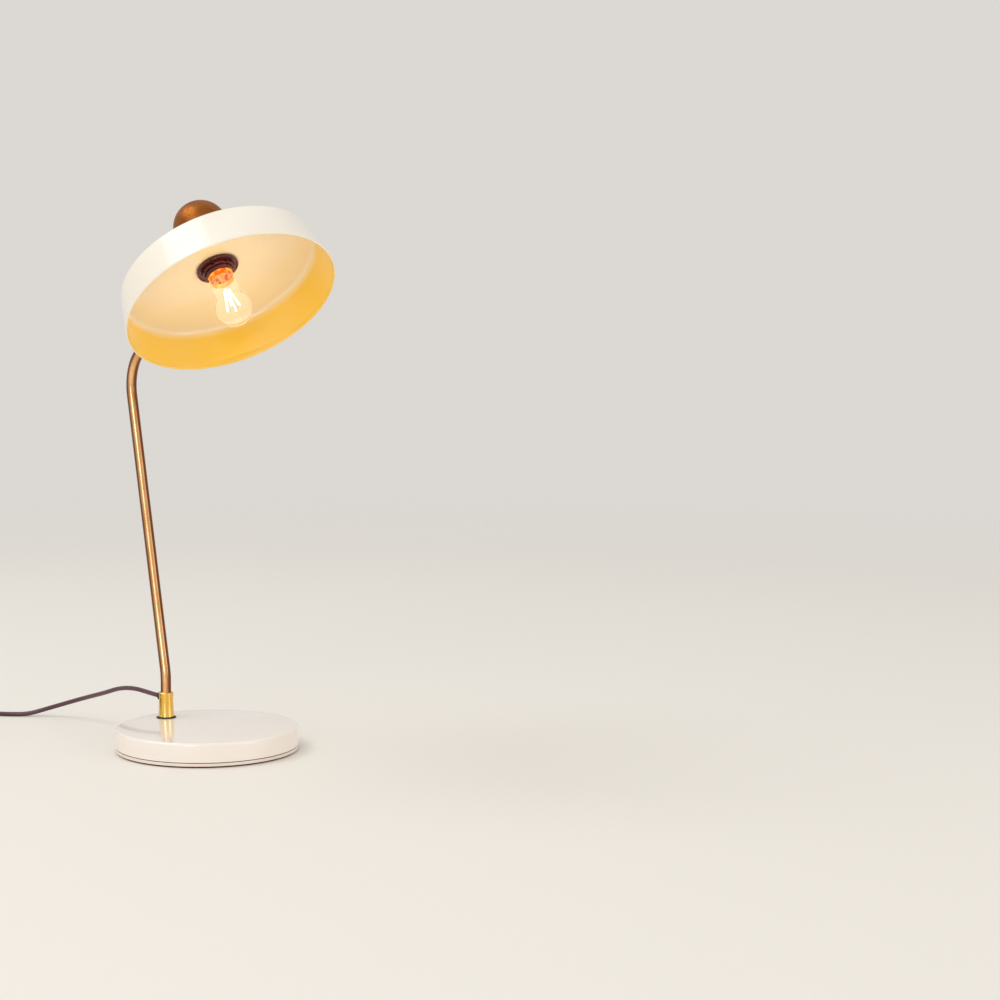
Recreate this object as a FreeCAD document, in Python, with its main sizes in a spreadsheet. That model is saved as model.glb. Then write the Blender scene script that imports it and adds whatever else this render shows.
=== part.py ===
import FreeCAD, Part
# Dome shade desk lamp: weighted drum base, bent brass stem that turns in a ferrule, tilting shade.
# Millimetres and degrees, +Z up. The origin is the centre of the base's underside, on the table.
# The ferrule stands behind the origin (+Y), and the lead leaves it to the rear.
import math
import os
import Sketcher
from FreeCAD import Placement, Rotation, Vector

doc = FreeCAD.newDocument("DomeShadeDeskLamp")
sheet = doc.addObject("Spreadsheet::Sheet", "Sizes")

# Driving dimensions. Heights in the base are above the table, heights in the head above the shade's mouth.
sizes = {
    # base
    "BaseDiameter": 180.0,
    "BaseHeight": 24.0,
    "FeltThickness": 1.5,
    "FeltInset": 2.5,
    "PanLipHeight": 3.0,
    "PanFloor": 2.0,
    "SpigotWall": 1.5,
    "SpigotRise": 4.0,
    "SeamGap": 0.7,
    "CoverWall": 1.4,
    "CoverEdgeRadius": 3.0,
    "SeatClearance": 0.2,
    "BallastInset": 10.0,
    "BallastPlate": 12.0,
    "BallastRimWidth": 6.0,
    "BallastBossDiameter": 28.0,
    "PanScrewCircle": 120.0,
    "PanScrewDiameter": 4.0,
    "PanScrewHead": 7.4,
    "PanScrewBite": 8.0,
    # ferrule and its fixing
    "FerruleSetback": 64.1,
    "FerruleFoot": 15.4,
    "FerruleWaist": 14.0,
    "FerruleTop": 14.6,
    "FerruleHeight": 25.2,
    "FerruleCollar": 5.0,
    "FootWasherDiameter": 20.0,
    "FootWasherThickness": 0.7,
    "TailDiameter": 10.0,
    "TailNutFlats": 16.0,
    "TailNutThickness": 5.0,
    "ToothedWasherDiameter": 17.0,
    "ToothedWasherThickness": 0.8,
    "ThreadClearance": 0.03,
    "SocketDepth": 15.6,
    "GrommetHeight": 45.0,
    "GrommetLength": 3.2,
    "GrommetWide": 9.4,
    "GrommetNarrow": 7.0,
    "GrommetNeck": 6.4,
    # stem
    "TubeDiameter": 10.5,
    "TubeWall": 1.0,
    "TubeClearance": 0.05,
    "StemTurn": 11.2,
    "FootBendHeight": 68.0,
    "FootBendRadius": 60.0,
    "ElbowHeight": 368.2,
    "ElbowSetback": 70.4,
    "ElbowRadius": 41.4,
    "PivotHeight": 514.8,
    "PivotReach": 85.2,
    "YokeWidth": 36.0,
    "YokeEar": 3.0,
    "YokeDepth": 12.0,
    "YokeBridge": 3.5,
    "YokeThroat": 9.5,
    "YokeSleeveWall": 1.5,
    "YokeSleeveLength": 8.0,
    "FlexDiameter": 4.2,
    # shade
    "ShadeTilt": 39.8,
    "PivotAboveMouth": 93.0,
    "ShadeDiameter": 208.2,
    "ShadeShoulder": 193.0,
    "SkirtHeight": 41.0,
    "ShadeDepth": 45.2,
    "ShadeWall": 1.0,
    "ShoulderRadius": 6.0,
    "HubFlat": 60.0,
    "CrownRadius": 760.0,
    "RimBead": 2.2,
    # cap over the lampholder and its joint
    "CapDiameter": 53.0,
    "CapWall": 1.2,
    "GasketThickness": 0.6,
    "SlotClearance": 0.8,
    "SlotUp": 56.0,
    "SlotDown": 38.0,
    "PivotBoss": 11.0,
    "PivotScrewShank": 5.0,
    "PivotScrewHead": 9.0,
    "PivotScrewHeadDepth": 2.2,
    "PivotRunning": 0.05,
    "FrictionWasherThickness": 0.9,
    "FrictionWasherDiameter": 11.0,
    "BridgeHeight": 66.0,
    "BridgeThickness": 1.6,
    "BridgeFlange": 5.0,
    # lampholder
    "NippleDiameter": 10.0,
    "NippleBore": 7.2,
    "NippleNutFlats": 14.0,
    "NippleNutThickness": 3.2,
    "HolderCapDiameter": 31.0,
    "HolderCapHeight": 10.8,
    "BarrelDiameter": 27.4,
    "BarrelMouth": 33.2,
    "BarrelBore": 25.4,
    "MouthStep": 1.2,
    "RingDiameter": 41.0,
    "RingFlange": 3.0,
    "RingHubDiameter": 33.0,
    "RingHubDrop": 3.4,
    "InsertThickness": 6.0,
    "ShellDiameter": 15.6,
    "ShellWall": 0.5,
    "ContactThickness": 0.5,
    # bulb
    "BulbCapDiameter": 14.0,
    "BulbCapLength": 11.5,
    "BulbNeckDiameter": 24.4,
    "BulbGlobeDiameter": 34.8,
    "BulbGlobeDrop": 6.0,
    "GlassWall": 0.7,
    "FilamentDiameter": 1.5,
    "FilamentLength": 22.0,
    "FilamentLean": 11.0,
    # lead, switch, plug
    "CordDiameter": 4.6,
    "CoilMiddleDiameter": 51.0,
    "CoilPitch": 5.2,
    "CoilLayer": 5.2,
    "SwitchLength": 62.0,
    "SwitchWidth": 24.0,
    "SwitchHeight": 15.0,
    "SwitchWall": 1.6,
    "RockerLength": 20.4,
    "RockerWidth": 11.0,
    "RockerClearance": 0.35,
    "RockerPin": 2.4,
    "PlugWidth": 35.3,
    "PlugThickness": 13.7,
    "PlugLength": 33.0,
    "PlugPinDiameter": 4.0,
    "PlugPinLength": 19.0,
    "PlugPinBite": 6.0,
    "PlugPinSpacing": 18.6,
    "PlugReliefLength": 22.0,
}
for row, (alias, number) in enumerate(sizes.items(), start=1):
    sheet.set(f"A{row}", alias)
    sheet.set(f"B{row}", str(number))
    sheet.setAlias(f"B{row}", alias)
doc.recompute()


class Dim:
    """A length worked out from the sheet: its number, and the same sum in the sheet's own words."""

    def __init__(self, value, text):
        self.value = value
        self.text = text

    def __add__(self, other):
        other = asDim(other)
        return Dim(self.value + other.value, f"({self.text} + {other.text})")

    def __radd__(self, other):
        return asDim(other) + self

    def __sub__(self, other):
        other = asDim(other)
        return Dim(self.value - other.value, f"({self.text} - {other.text})")

    def __rsub__(self, other):
        return asDim(other) - self

    def __mul__(self, factor):
        return Dim(self.value * factor, f"({self.text} * {factor})")

    def __rmul__(self, factor):
        return self * factor

    def __truediv__(self, factor):
        return Dim(self.value / factor, f"({self.text} / {factor})")

    def __neg__(self):
        return Dim(-self.value, f"(-1 * {self.text})")


def asDim(number):
    return number if isinstance(number, Dim) else Dim(float(number), repr(float(number)))


def cell(alias):
    return Dim(float(sheet.get(alias)), f"Sizes.{alias}")


def bind(feature, path, length):
    """Sets a property, or a part of one, to a length of the sheet."""
    feature.setExpression(path, asDim(length).text)


# Helpers for bodies, sketches and features. A point is (x, y), or (x, y, radius, turn) where the edge
# from it to the next point is an arc: turn is 1 for an arc that bends left and -1 for one that bends right.
parts = {}


def newBody(label, placement=None):
    body = doc.addObject("PartDesign::Body", label)
    body.Label = label
    if placement is not None:
        body.Placement = placement
    parts[label] = body
    return body


def newSketch(body, role, shift=(0, 0, 0)):
    """An empty sketch on the body's own plane, moved by shift in the sketch's own directions."""
    plane = [item for item in body.Origin.OriginFeatures if item.Role == role][0]
    sketch = body.newObject("Sketcher::SketchObject", body.Label + "_sketch")
    sketch.AttachmentSupport = [(plane, "")]
    sketch.MapMode = "FlatFace"
    lengths = [asDim(value) for value in shift]
    sketch.AttachmentOffset = Placement(Vector(*[length.value for length in lengths]), Rotation())
    for axis, length in zip("xyz", lengths):
        if "Sizes." in length.text:
            bind(sketch, "AttachmentOffset.Base." + axis, length)
    return sketch


def pinVertex(sketch, edge, end, x, y):
    """Holds one end of an edge at (x, y), each coordinate a length of the sheet, or zero."""
    for kind, axisLine, length in (("DistanceX", -2, asDim(x)), ("DistanceY", -1, asDim(y))):
        if abs(length.value) < 1e-9:
            sketch.addConstraint(Sketcher.Constraint("PointOnObject", edge, end, axisLine))
            continue
        index = sketch.addConstraint(Sketcher.Constraint(kind, -1, 1, edge, end, length.value))
        if "Sizes." in length.text:
            sketch.setExpression(f"Constraints[{index}]", length.text)


def addArc(sketch, start, finish, radius, turn):
    """An arc from start to finish. Returns its index and the numbers of its first and last ends."""
    chord = finish - start
    reach = math.sqrt(max(radius.value**2 - chord.Length**2 / 4, 0))
    left = Vector(-chord.y, chord.x, 0).normalize()
    centre = (start + finish) * 0.5 + left * reach * turn
    first, last = (start, finish) if turn > 0 else (finish, start)
    angles = [math.atan2(point.y - centre.y, point.x - centre.x) for point in (first, last)]
    if angles[1] < angles[0]:
        angles[1] += 2 * math.pi
    circle = Part.Circle(centre, Vector(0, 0, 1), radius.value)
    edge = sketch.addGeometry(Part.ArcOfCircle(circle, angles[0], angles[1]), False)
    index = sketch.addConstraint(Sketcher.Constraint("Radius", edge, radius.value))
    if "Sizes." in radius.text:
        sketch.setExpression(f"Constraints[{index}]", radius.text)
    return (edge, 1, 2) if turn > 0 else (edge, 2, 1)


def trace(sketch, points):
    """A closed outline through the points, every vertex held by lengths of the sheet."""
    corners = [Vector(asDim(point[0]).value, asDim(point[1]).value, 0) for point in points]
    edges = []
    for place, point in enumerate(points):
        start = corners[place]
        finish = corners[(place + 1) % len(points)]
        if len(point) == 4:
            edges.append(addArc(sketch, start, finish, asDim(point[2]), point[3]))
        else:
            edges.append((sketch.addGeometry(Part.LineSegment(start, finish), False), 1, 2))
    for place, (edge, first, last) in enumerate(edges):
        after = edges[(place + 1) % len(edges)]
        sketch.addConstraint(Sketcher.Constraint("Coincident", edge, last, after[0], after[1]))
        pinVertex(sketch, edge, first, points[place][0], points[place][1])


def addCircle(sketch, radius, x=0, y=0):
    radius = asDim(radius)
    middle = Vector(asDim(x).value, asDim(y).value, 0)
    edge = sketch.addGeometry(Part.Circle(middle, Vector(0, 0, 1), radius.value), False)
    index = sketch.addConstraint(Sketcher.Constraint("Radius", edge, radius.value))
    sketch.setExpression(f"Constraints[{index}]", radius.text)
    pinVertex(sketch, edge, 3, x, y)


def polar(radius, angle):
    """The point at a radius and an angle in degrees, the angle a cell of the sheet or a plain number."""
    radius = asDim(radius)
    angle = asDim(angle)
    turn = math.radians(angle.value)
    across = Dim(radius.value * math.cos(turn), f"({radius.text} * cos({angle.text}))")
    up = Dim(radius.value * math.sin(turn), f"({radius.text} * sin({angle.text}))")
    return across, up


def hexagon(flats):
    corner = flats / (2 * math.cos(math.radians(30)))
    return [polar(corner, 60 * side + 30) for side in range(6)]


def revolve(body, points, role="XZ_Plane", axis="V_Axis", shift=(0, 0, 0), cut=False):
    """Turns an outline about an axis of its own sketch, as material or as a cut."""
    sketch = newSketch(body, role, shift)
    trace(sketch, points)
    kind = "PartDesign::Groove" if cut else "PartDesign::Revolution"
    before = body.Shape.Volume if cut else 0
    turn = body.newObject(kind, body.Label + ("_groove" if cut else "_turned"))
    turn.Profile = sketch
    turn.ReferenceAxis = (sketch, [axis])
    turn.Angle = 360
    doc.recompute()
    if cut and body.Shape.Volume > before - 1e-3:
        raise RuntimeError(f"{body.Label}: the groove cuts nothing")
    return turn


def pad(body, sketch, length, reverse=False, midplane=False):
    boss = body.newObject("PartDesign::Pad", body.Label + "_pad")
    boss.Profile = sketch
    boss.Reversed = reverse
    if midplane:
        boss.SideType = "Symmetric"
    boss.Length = asDim(length).value
    bind(boss, "Length", length)
    doc.recompute()
    return boss


def pocket(body, sketch, length, reverse=False, midplane=False):
    before = body.Shape.Volume
    hollow = body.newObject("PartDesign::Pocket", body.Label + "_pocket")
    hollow.Profile = sketch
    hollow.Reversed = reverse
    if midplane:
        hollow.SideType = "Symmetric"
    hollow.Length = asDim(length).value
    bind(hollow, "Length", length)
    doc.recompute()
    if body.Shape.Volume > before - 1e-3:
        raise RuntimeError(f"{body.Label}: the pocket cuts nothing")
    return hollow


def pattern(body, features, copies):
    """Repeats features evenly round the body's own Z axis."""
    ring = body.newObject("PartDesign::PolarPattern", body.Label + "_pattern")
    ring.Originals = features
    ring.Axis = ([item for item in body.Origin.OriginFeatures if item.Role == "Z_Axis"][0], [""])
    ring.Angle = 360
    ring.Occurrences = copies
    body.Tip = ring
    doc.recompute()


def mirror(body, features, role):
    twin = body.newObject("PartDesign::Mirrored", body.Label + "_mirrored")
    twin.Originals = features
    twin.MirrorPlane = ([item for item in body.Origin.OriginFeatures if item.Role == role][0], [""])
    body.Tip = twin
    doc.recompute()


def roundEdges(body, radius, wanted):
    """Rounds every edge of the body so far that wanted() picks."""
    base = body.Tip
    names = [f"Edge{place}" for place, edge in enumerate(base.Shape.Edges, start=1) if wanted(edge)]
    if not names:
        raise RuntimeError(f"{body.Label}: no edge to round")
    soft = body.newObject("PartDesign::Fillet", body.Label + "_rounded")
    soft.Base = (base, names)
    soft.Radius = asDim(radius).value
    bind(soft, "Radius", radius)
    doc.recompute()


def hoop(radius, height):
    """Picks the round edge about the Z axis with this radius at this height."""
    radius = asDim(radius).value
    height = asDim(height).value

    def wanted(edge):
        if edge.Curve.TypeId != "Part::GeomCircle":
            return False
        middle = edge.Curve.Center
        centred = abs(middle.x) < 0.01 and abs(middle.y) < 0.01 and abs(middle.z - height) < 0.01
        return centred and abs(edge.Curve.Radius - radius) < 0.01

    return wanted


def ring(label, inner, outer, bottom, top, placement=None):
    body = newBody(label, placement)
    revolve(body, [(inner, bottom), (outer, bottom), (outer, top), (inner, top)])
    return body


def addFeature(label, shape, placement=None):
    feature = doc.addObject("Part::Feature", label)
    feature.Label = label
    feature.Shape = shape
    if placement is not None:
        feature.Placement = placement
    parts[label] = feature
    return feature


# Places of the three moving assemblies. The stem turns in the ferrule, the head tilts on the stem.
size = {alias: float(sheet.get(alias)) for alias in sizes}
ferruleAxis = Placement(Vector(0, size["FerruleSetback"], 0), Rotation())
stemPlace = ferruleAxis * Placement(Vector(), Rotation(Vector(0, 0, 1), -size["StemTurn"]))
pivotInStem = Vector(0, -size["PivotReach"], size["PivotHeight"])
stemSlope = Vector(0, size["ElbowSetback"], size["ElbowHeight"]) - pivotInStem
yokePlace = stemPlace * Placement(pivotInStem, Rotation(Vector(0, 0, 1), stemSlope))
tilt = Rotation(Vector(1, 0, 0), -size["ShadeTilt"])
dropToMouth = Placement(Vector(0, 0, -size["PivotAboveMouth"]), Rotation())
headPlace = stemPlace * Placement(pivotInStem, tilt) * dropToMouth

# Heights and radii that several pieces share.
baseRadius = cell("BaseDiameter") / 2
feltTop = cell("FeltThickness")
lipTop = feltTop + cell("PanLipHeight")
skirtBottom = lipTop + cell("SeamGap")
coverTop = cell("BaseHeight")
coverInside = coverTop - cell("CoverWall")
spigotRadius = baseRadius - cell("CoverWall") - cell("SeatClearance")
ballastBottom = feltTop + cell("PanFloor")
ballastTop = ballastBottom + cell("BallastPlate")
tailRadius = cell("TailDiameter") / 2
tailHole = tailRadius + cell("ThreadClearance")
nutPocket = cell("TailNutThickness") + cell("ToothedWasherThickness") + cell("SpigotWall")

# --- base ---
felt = newBody("felt_pad")
feltDisc = newSketch(felt, "XY_Plane")
addCircle(feltDisc, baseRadius - cell("FeltInset"))
pad(felt, feltDisc, feltTop)

pan = newBody("base_pan")
revolve(
    pan,
    [
        (0, feltTop),
        (baseRadius, feltTop),
        (baseRadius, lipTop),
        (spigotRadius, lipTop),
        (spigotRadius, lipTop + cell("SpigotRise")),
        (spigotRadius - cell("SpigotWall"), lipTop + cell("SpigotRise")),
        (spigotRadius - cell("SpigotWall"), ballastBottom),
        (0, ballastBottom),
    ],
)
screwRing = cell("PanScrewCircle") / 2
screwRadius = cell("PanScrewDiameter") / 2
headRadius = cell("PanScrewHead") / 2
headDepth = headRadius - screwRadius
sink = [
    (0, feltTop),
    (headRadius + cell("ThreadClearance"), feltTop),
    (screwRadius + cell("ThreadClearance"), feltTop + headDepth),
    (screwRadius + cell("ThreadClearance"), ballastBottom),
    (0, ballastBottom),
]
sinkCut = revolve(pan, sink, shift=(screwRing, 0, 0), cut=True)
pattern(pan, [sinkCut], 3)

screws = newBody("pan_screws")
screwTurned = revolve(
    screws,
    [
        (0, feltTop),
        (headRadius, feltTop),
        (screwRadius, feltTop + headDepth),
        (screwRadius, ballastBottom + cell("PanScrewBite")),
        (0, ballastBottom + cell("PanScrewBite")),
    ],
    shift=(screwRing, 0, 0),
)
pattern(screws, [screwTurned], 3)

ballast = newBody("ballast_disc")
ballastRadius = cell("BaseDiameter") / 2 - cell("BallastInset")
rimInside = ballastRadius - cell("BallastRimWidth")
revolve(
    ballast,
    [
        (0, ballastBottom),
        (ballastRadius, ballastBottom),
        (ballastRadius, coverInside),
        (rimInside, coverInside),
        (rimInside - cell("BallastRimWidth") / 2, ballastTop),
        (0, ballastTop),
    ],
)
boss = newSketch(ballast, "XY_Plane", (0, 0, ballastTop - 1))
addCircle(boss, cell("BallastBossDiameter") / 2, 0, cell("FerruleSetback"))
pad(ballast, boss, coverInside - ballastTop + 1)
tailBore = newSketch(ballast, "XY_Plane", (0, 0, coverInside))
addCircle(tailBore, tailHole, 0, cell("FerruleSetback"))
pocket(ballast, tailBore, coverInside - ballastBottom)
nutRecess = newSketch(ballast, "XY_Plane", (0, 0, ballastBottom))
addCircle(nutRecess, cell("TailNutFlats") / 2 + 2.5, 0, cell("FerruleSetback"))
pocket(ballast, nutRecess, nutPocket, reverse=True)
tapped = newSketch(ballast, "XY_Plane", (0, 0, ballastBottom))
addCircle(tapped, screwRadius + cell("ThreadClearance"), screwRing, 0)
tappedCut = pocket(ballast, tapped, cell("PanScrewBite") + 1, reverse=True)
pattern(ballast, [tappedCut], 3)

cover = newBody("base_cover")
revolve(
    cover,
    [
        (0, coverInside),
        (baseRadius - cell("CoverWall"), coverInside),
        (baseRadius - cell("CoverWall"), skirtBottom),
        (baseRadius, skirtBottom),
        (baseRadius, coverTop),
        (0, coverTop),
    ],
)
roundEdges(cover, cell("CoverEdgeRadius"), hoop(baseRadius, coverTop))
roundEdges(cover, cell("CoverEdgeRadius") - cell("CoverWall"), hoop(baseRadius - cell("CoverWall"), coverInside))
coverBore = newSketch(cover, "XY_Plane", (0, 0, coverTop))
addCircle(coverBore, tailHole, 0, cell("FerruleSetback"))
pocket(cover, coverBore, cell("CoverWall"))

# --- ferrule and its fixing, on the ferrule's own axis ---
washerTop = coverTop + cell("FootWasherThickness")
ferruleTop = washerTop + cell("FerruleHeight")
socketRadius = cell("TubeDiameter") / 2 + cell("TubeClearance")
socketBottom = ferruleTop - cell("SocketDepth")
recessTop = ballastBottom + nutPocket
ring("foot_washer", tailHole, cell("FootWasherDiameter") / 2, coverTop, washerTop, ferruleAxis)

ferrule = newBody("ferrule", ferruleAxis)
tailBottom = recessTop - nutPocket + 0.6
collarBottom = ferruleTop - cell("FerruleCollar")
revolve(
    ferrule,
    [
        (0, tailBottom),
        (tailRadius, tailBottom),
        (tailRadius, washerTop),
        (cell("FerruleFoot") / 2, washerTop),
        (cell("FerruleFoot") / 2, washerTop + 1.5),
        (cell("FerruleWaist") / 2, collarBottom),
        (cell("FerruleTop") / 2, collarBottom + 0.6),
        (cell("FerruleTop") / 2, ferruleTop - 0.8),
        (cell("FerruleTop") / 2 - 0.8, ferruleTop),
        (socketRadius, ferruleTop),
        (socketRadius, socketBottom),
        (0, socketBottom),
    ],
)
inletBore = newSketch(ferrule, "XZ_Plane")
neckHole = cell("GrommetNeck") / 2 + cell("ThreadClearance")
addCircle(inletBore, neckHole, 0, cell("GrommetHeight"))
pocket(ferrule, inletBore, cell("FerruleFoot"))

washerUnder = recessTop - cell("ToothedWasherThickness")
ring("toothed_washer", tailHole, cell("ToothedWasherDiameter") / 2, washerUnder, recessTop, ferruleAxis)
nut = newBody("tail_nut", ferruleAxis)
nutOutline = newSketch(nut, "XY_Plane", (0, 0, washerUnder - cell("TailNutThickness")))
trace(nutOutline, hexagon(cell("TailNutFlats")))
addCircle(nutOutline, tailHole)
pad(nut, nutOutline, cell("TailNutThickness"))

grommet = newBody("lead_grommet", ferruleAxis)
cordBore = cell("CordDiameter") / 2 + cell("ThreadClearance")
grommetFace = cell("FerruleWaist") / 2 + 0.35
revolve(
    grommet,
    [
        (socketRadius + 0.3, cordBore),
        (grommetFace + cell("GrommetLength"), cordBore),
        (grommetFace + cell("GrommetLength"), cell("GrommetNarrow") / 2),
        (grommetFace, cell("GrommetWide") / 2),
        (grommetFace, cell("GrommetNeck") / 2),
        (socketRadius + 0.3, cell("GrommetNeck") / 2),
    ],
    role="YZ_Plane",
    axis="H_Axis",
    shift=(0, cell("GrommetHeight"), 0),
)
inlet = newBody("inlet_flex", ferruleAxis)
inletEnd = newSketch(inlet, "XZ_Plane", (0, 0, -(grommetFace + cell("GrommetLength"))))
addCircle(inletEnd, cell("CordDiameter") / 2, 0, cell("GrommetHeight"))
pad(inlet, inletEnd, grommetFace + cell("GrommetLength") - 1.2)


# --- stem: one tube with two bends, in its own vertical plane ---
def bentPath(body, startHeight, stopShort):
    """The tube's centreline: up from startHeight, back at the foot bend, forward at the elbow towards
    the pivot, ending stopShort before it. The corner points are held, the bends are tangent arcs."""
    sketch = newSketch(body, "YZ_Plane")
    corners = [
        (0, startHeight),
        (0, cell("FootBendHeight")),
        (cell("ElbowSetback"), cell("ElbowHeight")),
        (-cell("PivotReach"), cell("PivotHeight")),
    ]
    radii = [cell("FootBendRadius"), cell("ElbowRadius")]
    points = [Vector(asDim(across).value, asDim(up).value, 0) for across, up in corners]
    ahead = [(after - before).normalize() for before, after in zip(points, points[1:])]
    trims = [0.0]
    for radius, before, after in zip(radii, ahead, ahead[1:]):
        trims.append(radius.value * math.tan(before.getAngle(after) / 2))
    trims.append(asDim(stopShort).value)
    lines = []
    for place, way in enumerate(ahead):
        start = points[place] + way * trims[place]
        finish = points[place + 1] - way * trims[place + 1]
        lines.append(sketch.addGeometry(Part.LineSegment(start, finish), False))
    pinVertex(sketch, lines[0], 1, *corners[0])
    marks = []
    for corner, point in zip(corners[1:], points[1:]):
        mark = sketch.addGeometry(Part.Point(point), True)
        pinVertex(sketch, mark, 1, *corner)
        marks.append(mark)
    sketch.addConstraint(Sketcher.Constraint("PointOnObject", marks[0], 1, lines[0]))
    sketch.addConstraint(Sketcher.Constraint("PointOnObject", marks[0], 1, lines[1]))
    sketch.addConstraint(Sketcher.Constraint("PointOnObject", marks[1], 1, lines[1]))
    sketch.addConstraint(Sketcher.Constraint("PointOnObject", marks[1], 1, lines[2]))
    sketch.addConstraint(Sketcher.Constraint("PointOnObject", marks[2], 1, lines[2]))
    bends = []
    for place, radius in enumerate(radii):
        start = points[place + 1] - ahead[place] * trims[place + 1]
        finish = points[place + 1] + ahead[place + 1] * trims[place + 1]
        bend = addArc(sketch, start, finish, radius, 1 if place else -1)
        if place == 0:
            left = ahead[0].cross(ahead[1]).z > 0
            if left:
                raise RuntimeError("the foot bend leans forward")
        sketch.addConstraint(Sketcher.Constraint("Tangent", lines[place], 2, bend[0], bend[1]))
        sketch.addConstraint(Sketcher.Constraint("Tangent", bend[0], bend[2], lines[place + 1], 1))
        bends.append(bend)
    short = sketch.addConstraint(
        Sketcher.Constraint("Distance", lines[2], 2, marks[2], 1, asDim(stopShort).value)
    )
    sketch.setExpression(f"Constraints[{short}]", asDim(stopShort).text)
    doc.recompute()
    return sketch


def pipe(body, spine, radii, startHeight):
    section = newSketch(body, "XY_Plane", (0, 0, startHeight))
    for radius in radii:
        addCircle(section, radius)
    tube = body.newObject("PartDesign::AdditivePipe", body.Label + "_pipe")
    tube.Profile = section
    tube.Spine = (spine, [f"Edge{place}" for place in range(1, len(spine.Shape.Edges) + 1)])
    doc.recompute()


throat = cell("YokeThroat") + cell("YokeBridge")
tubeBottom = socketBottom + 0.3
tubeRadius = cell("TubeDiameter") / 2
stem = newBody("stem_tube", stemPlace)
pipe(stem, bentPath(stem, tubeBottom, throat), [tubeRadius, tubeRadius - cell("TubeWall")], tubeBottom)
# The foot of the tube is cut away behind, so that the lead passes in at every turn of the stem.
window = newSketch(stem, "YZ_Plane")
windowEdge = 0.8
windowTop = cell("GrommetHeight") + cell("GrommetNeck") / 2 + 0.6
trace(
    window,
    [
        (windowEdge, tubeBottom - 1),
        (tubeRadius + 1, tubeBottom - 1),
        (tubeRadius + 1, windowTop),
        (windowEdge, windowTop),
    ],
)
pocket(stem, window, cell("TubeDiameter") + 2, midplane=True)

flex = newBody("stem_flex", stemPlace)
flexBottom = ferruleTop + 2
flexStop = cell("YokeThroat") - 1.5
pipe(flex, bentPath(flex, flexBottom, flexStop), [cell("FlexDiameter") / 2], flexBottom)

# The yoke at the stem's end, drawn with the pivot at its origin and the stem along +Z.
yoke = newBody("stem_yoke", yokePlace)
yokeHalf = cell("YokeWidth") / 2
yokeInside = yokeHalf - cell("YokeEar")
earTip = cell("YokeDepth") / 2
arms = newSketch(yoke, "XZ_Plane")
trace(
    arms,
    [
        (-yokeHalf, -earTip),
        (-yokeInside, -earTip),
        (-yokeInside, cell("YokeThroat")),
        (yokeInside, cell("YokeThroat")),
        (yokeInside, -earTip),
        (yokeHalf, -earTip),
        (yokeHalf, throat),
        (-yokeHalf, throat),
    ],
)
pad(yoke, arms, cell("YokeDepth"), midplane=True)


def earCorner(edge):
    box = edge.BoundBox
    return box.YLength < 0.01 and box.ZLength < 0.01 and box.ZMax < 0 and abs(abs(box.YMin) - earTip.value) < 0.01


roundEdges(yoke, earTip - 0.1, earCorner)
sleeve = newSketch(yoke, "XY_Plane", (0, 0, throat))
addCircle(sleeve, tubeRadius + cell("YokeSleeveWall"))
addCircle(sleeve, tubeRadius + cell("ThreadClearance"))
pad(yoke, sleeve, cell("YokeSleeveLength"))
wireHole = newSketch(yoke, "XY_Plane", (0, 0, throat))
addCircle(wireHole, cell("FlexDiameter") / 2 + 0.4)
pocket(yoke, wireHole, cell("YokeBridge"))
earHole = newSketch(yoke, "YZ_Plane")
addCircle(earHole, cell("PivotScrewShank") / 2 + cell("PivotRunning"))
pocket(yoke, earHole, cell("YokeWidth") + 2, midplane=True)

# --- head: drawn with the shade's mouth in the XY plane and its axis along +Z ---
shadeRadius = cell("ShadeDiameter") / 2
shoulder = cell("ShadeShoulder") / 2
wall = cell("ShadeWall")
beadRadius = cell("RimBead") / 2
hub = cell("HubFlat") / 2
barrelRadius = cell("BarrelDiameter") / 2
shadeHole = barrelRadius + cell("SeatClearance")
crown = cell("CrownRadius")
shade = newBody("shade_shell", headPlace)
revolve(
    shade,
    [
        (shadeRadius, beadRadius),
        (shoulder, cell("SkirtHeight"), crown, 1),
        (hub, cell("ShadeDepth")),
        (shadeHole, cell("ShadeDepth")),
        (shadeHole, cell("ShadeDepth") - wall),
        (hub, cell("ShadeDepth") - wall, crown - wall, -1),
        (shoulder - wall, cell("SkirtHeight") - wall),
        (shadeRadius - wall, beadRadius),
    ],
)
roundEdges(shade, cell("ShoulderRadius"), hoop(shoulder, cell("SkirtHeight")))
roundEdges(shade, cell("ShoulderRadius") - wall, hoop(shoulder - wall, cell("SkirtHeight") - wall))
bead = newSketch(shade, "XZ_Plane")
addCircle(bead, beadRadius, shadeRadius - beadRadius, beadRadius)
beadTurned = shade.newObject("PartDesign::Revolution", "shade_bead")
beadTurned.Profile = bead
beadTurned.ReferenceAxis = (bead, ["V_Axis"])
beadTurned.Angle = 360
doc.recompute()

capRadius = cell("CapDiameter") / 2
capInside = capRadius - cell("CapWall")
capMouth = cell("ShadeDepth") + cell("GasketThickness")
pivotHeight = cell("PivotAboveMouth")
ring("shade_gasket", capInside - 0.6, capRadius + 0.4, cell("ShadeDepth"), capMouth, headPlace)

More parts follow.
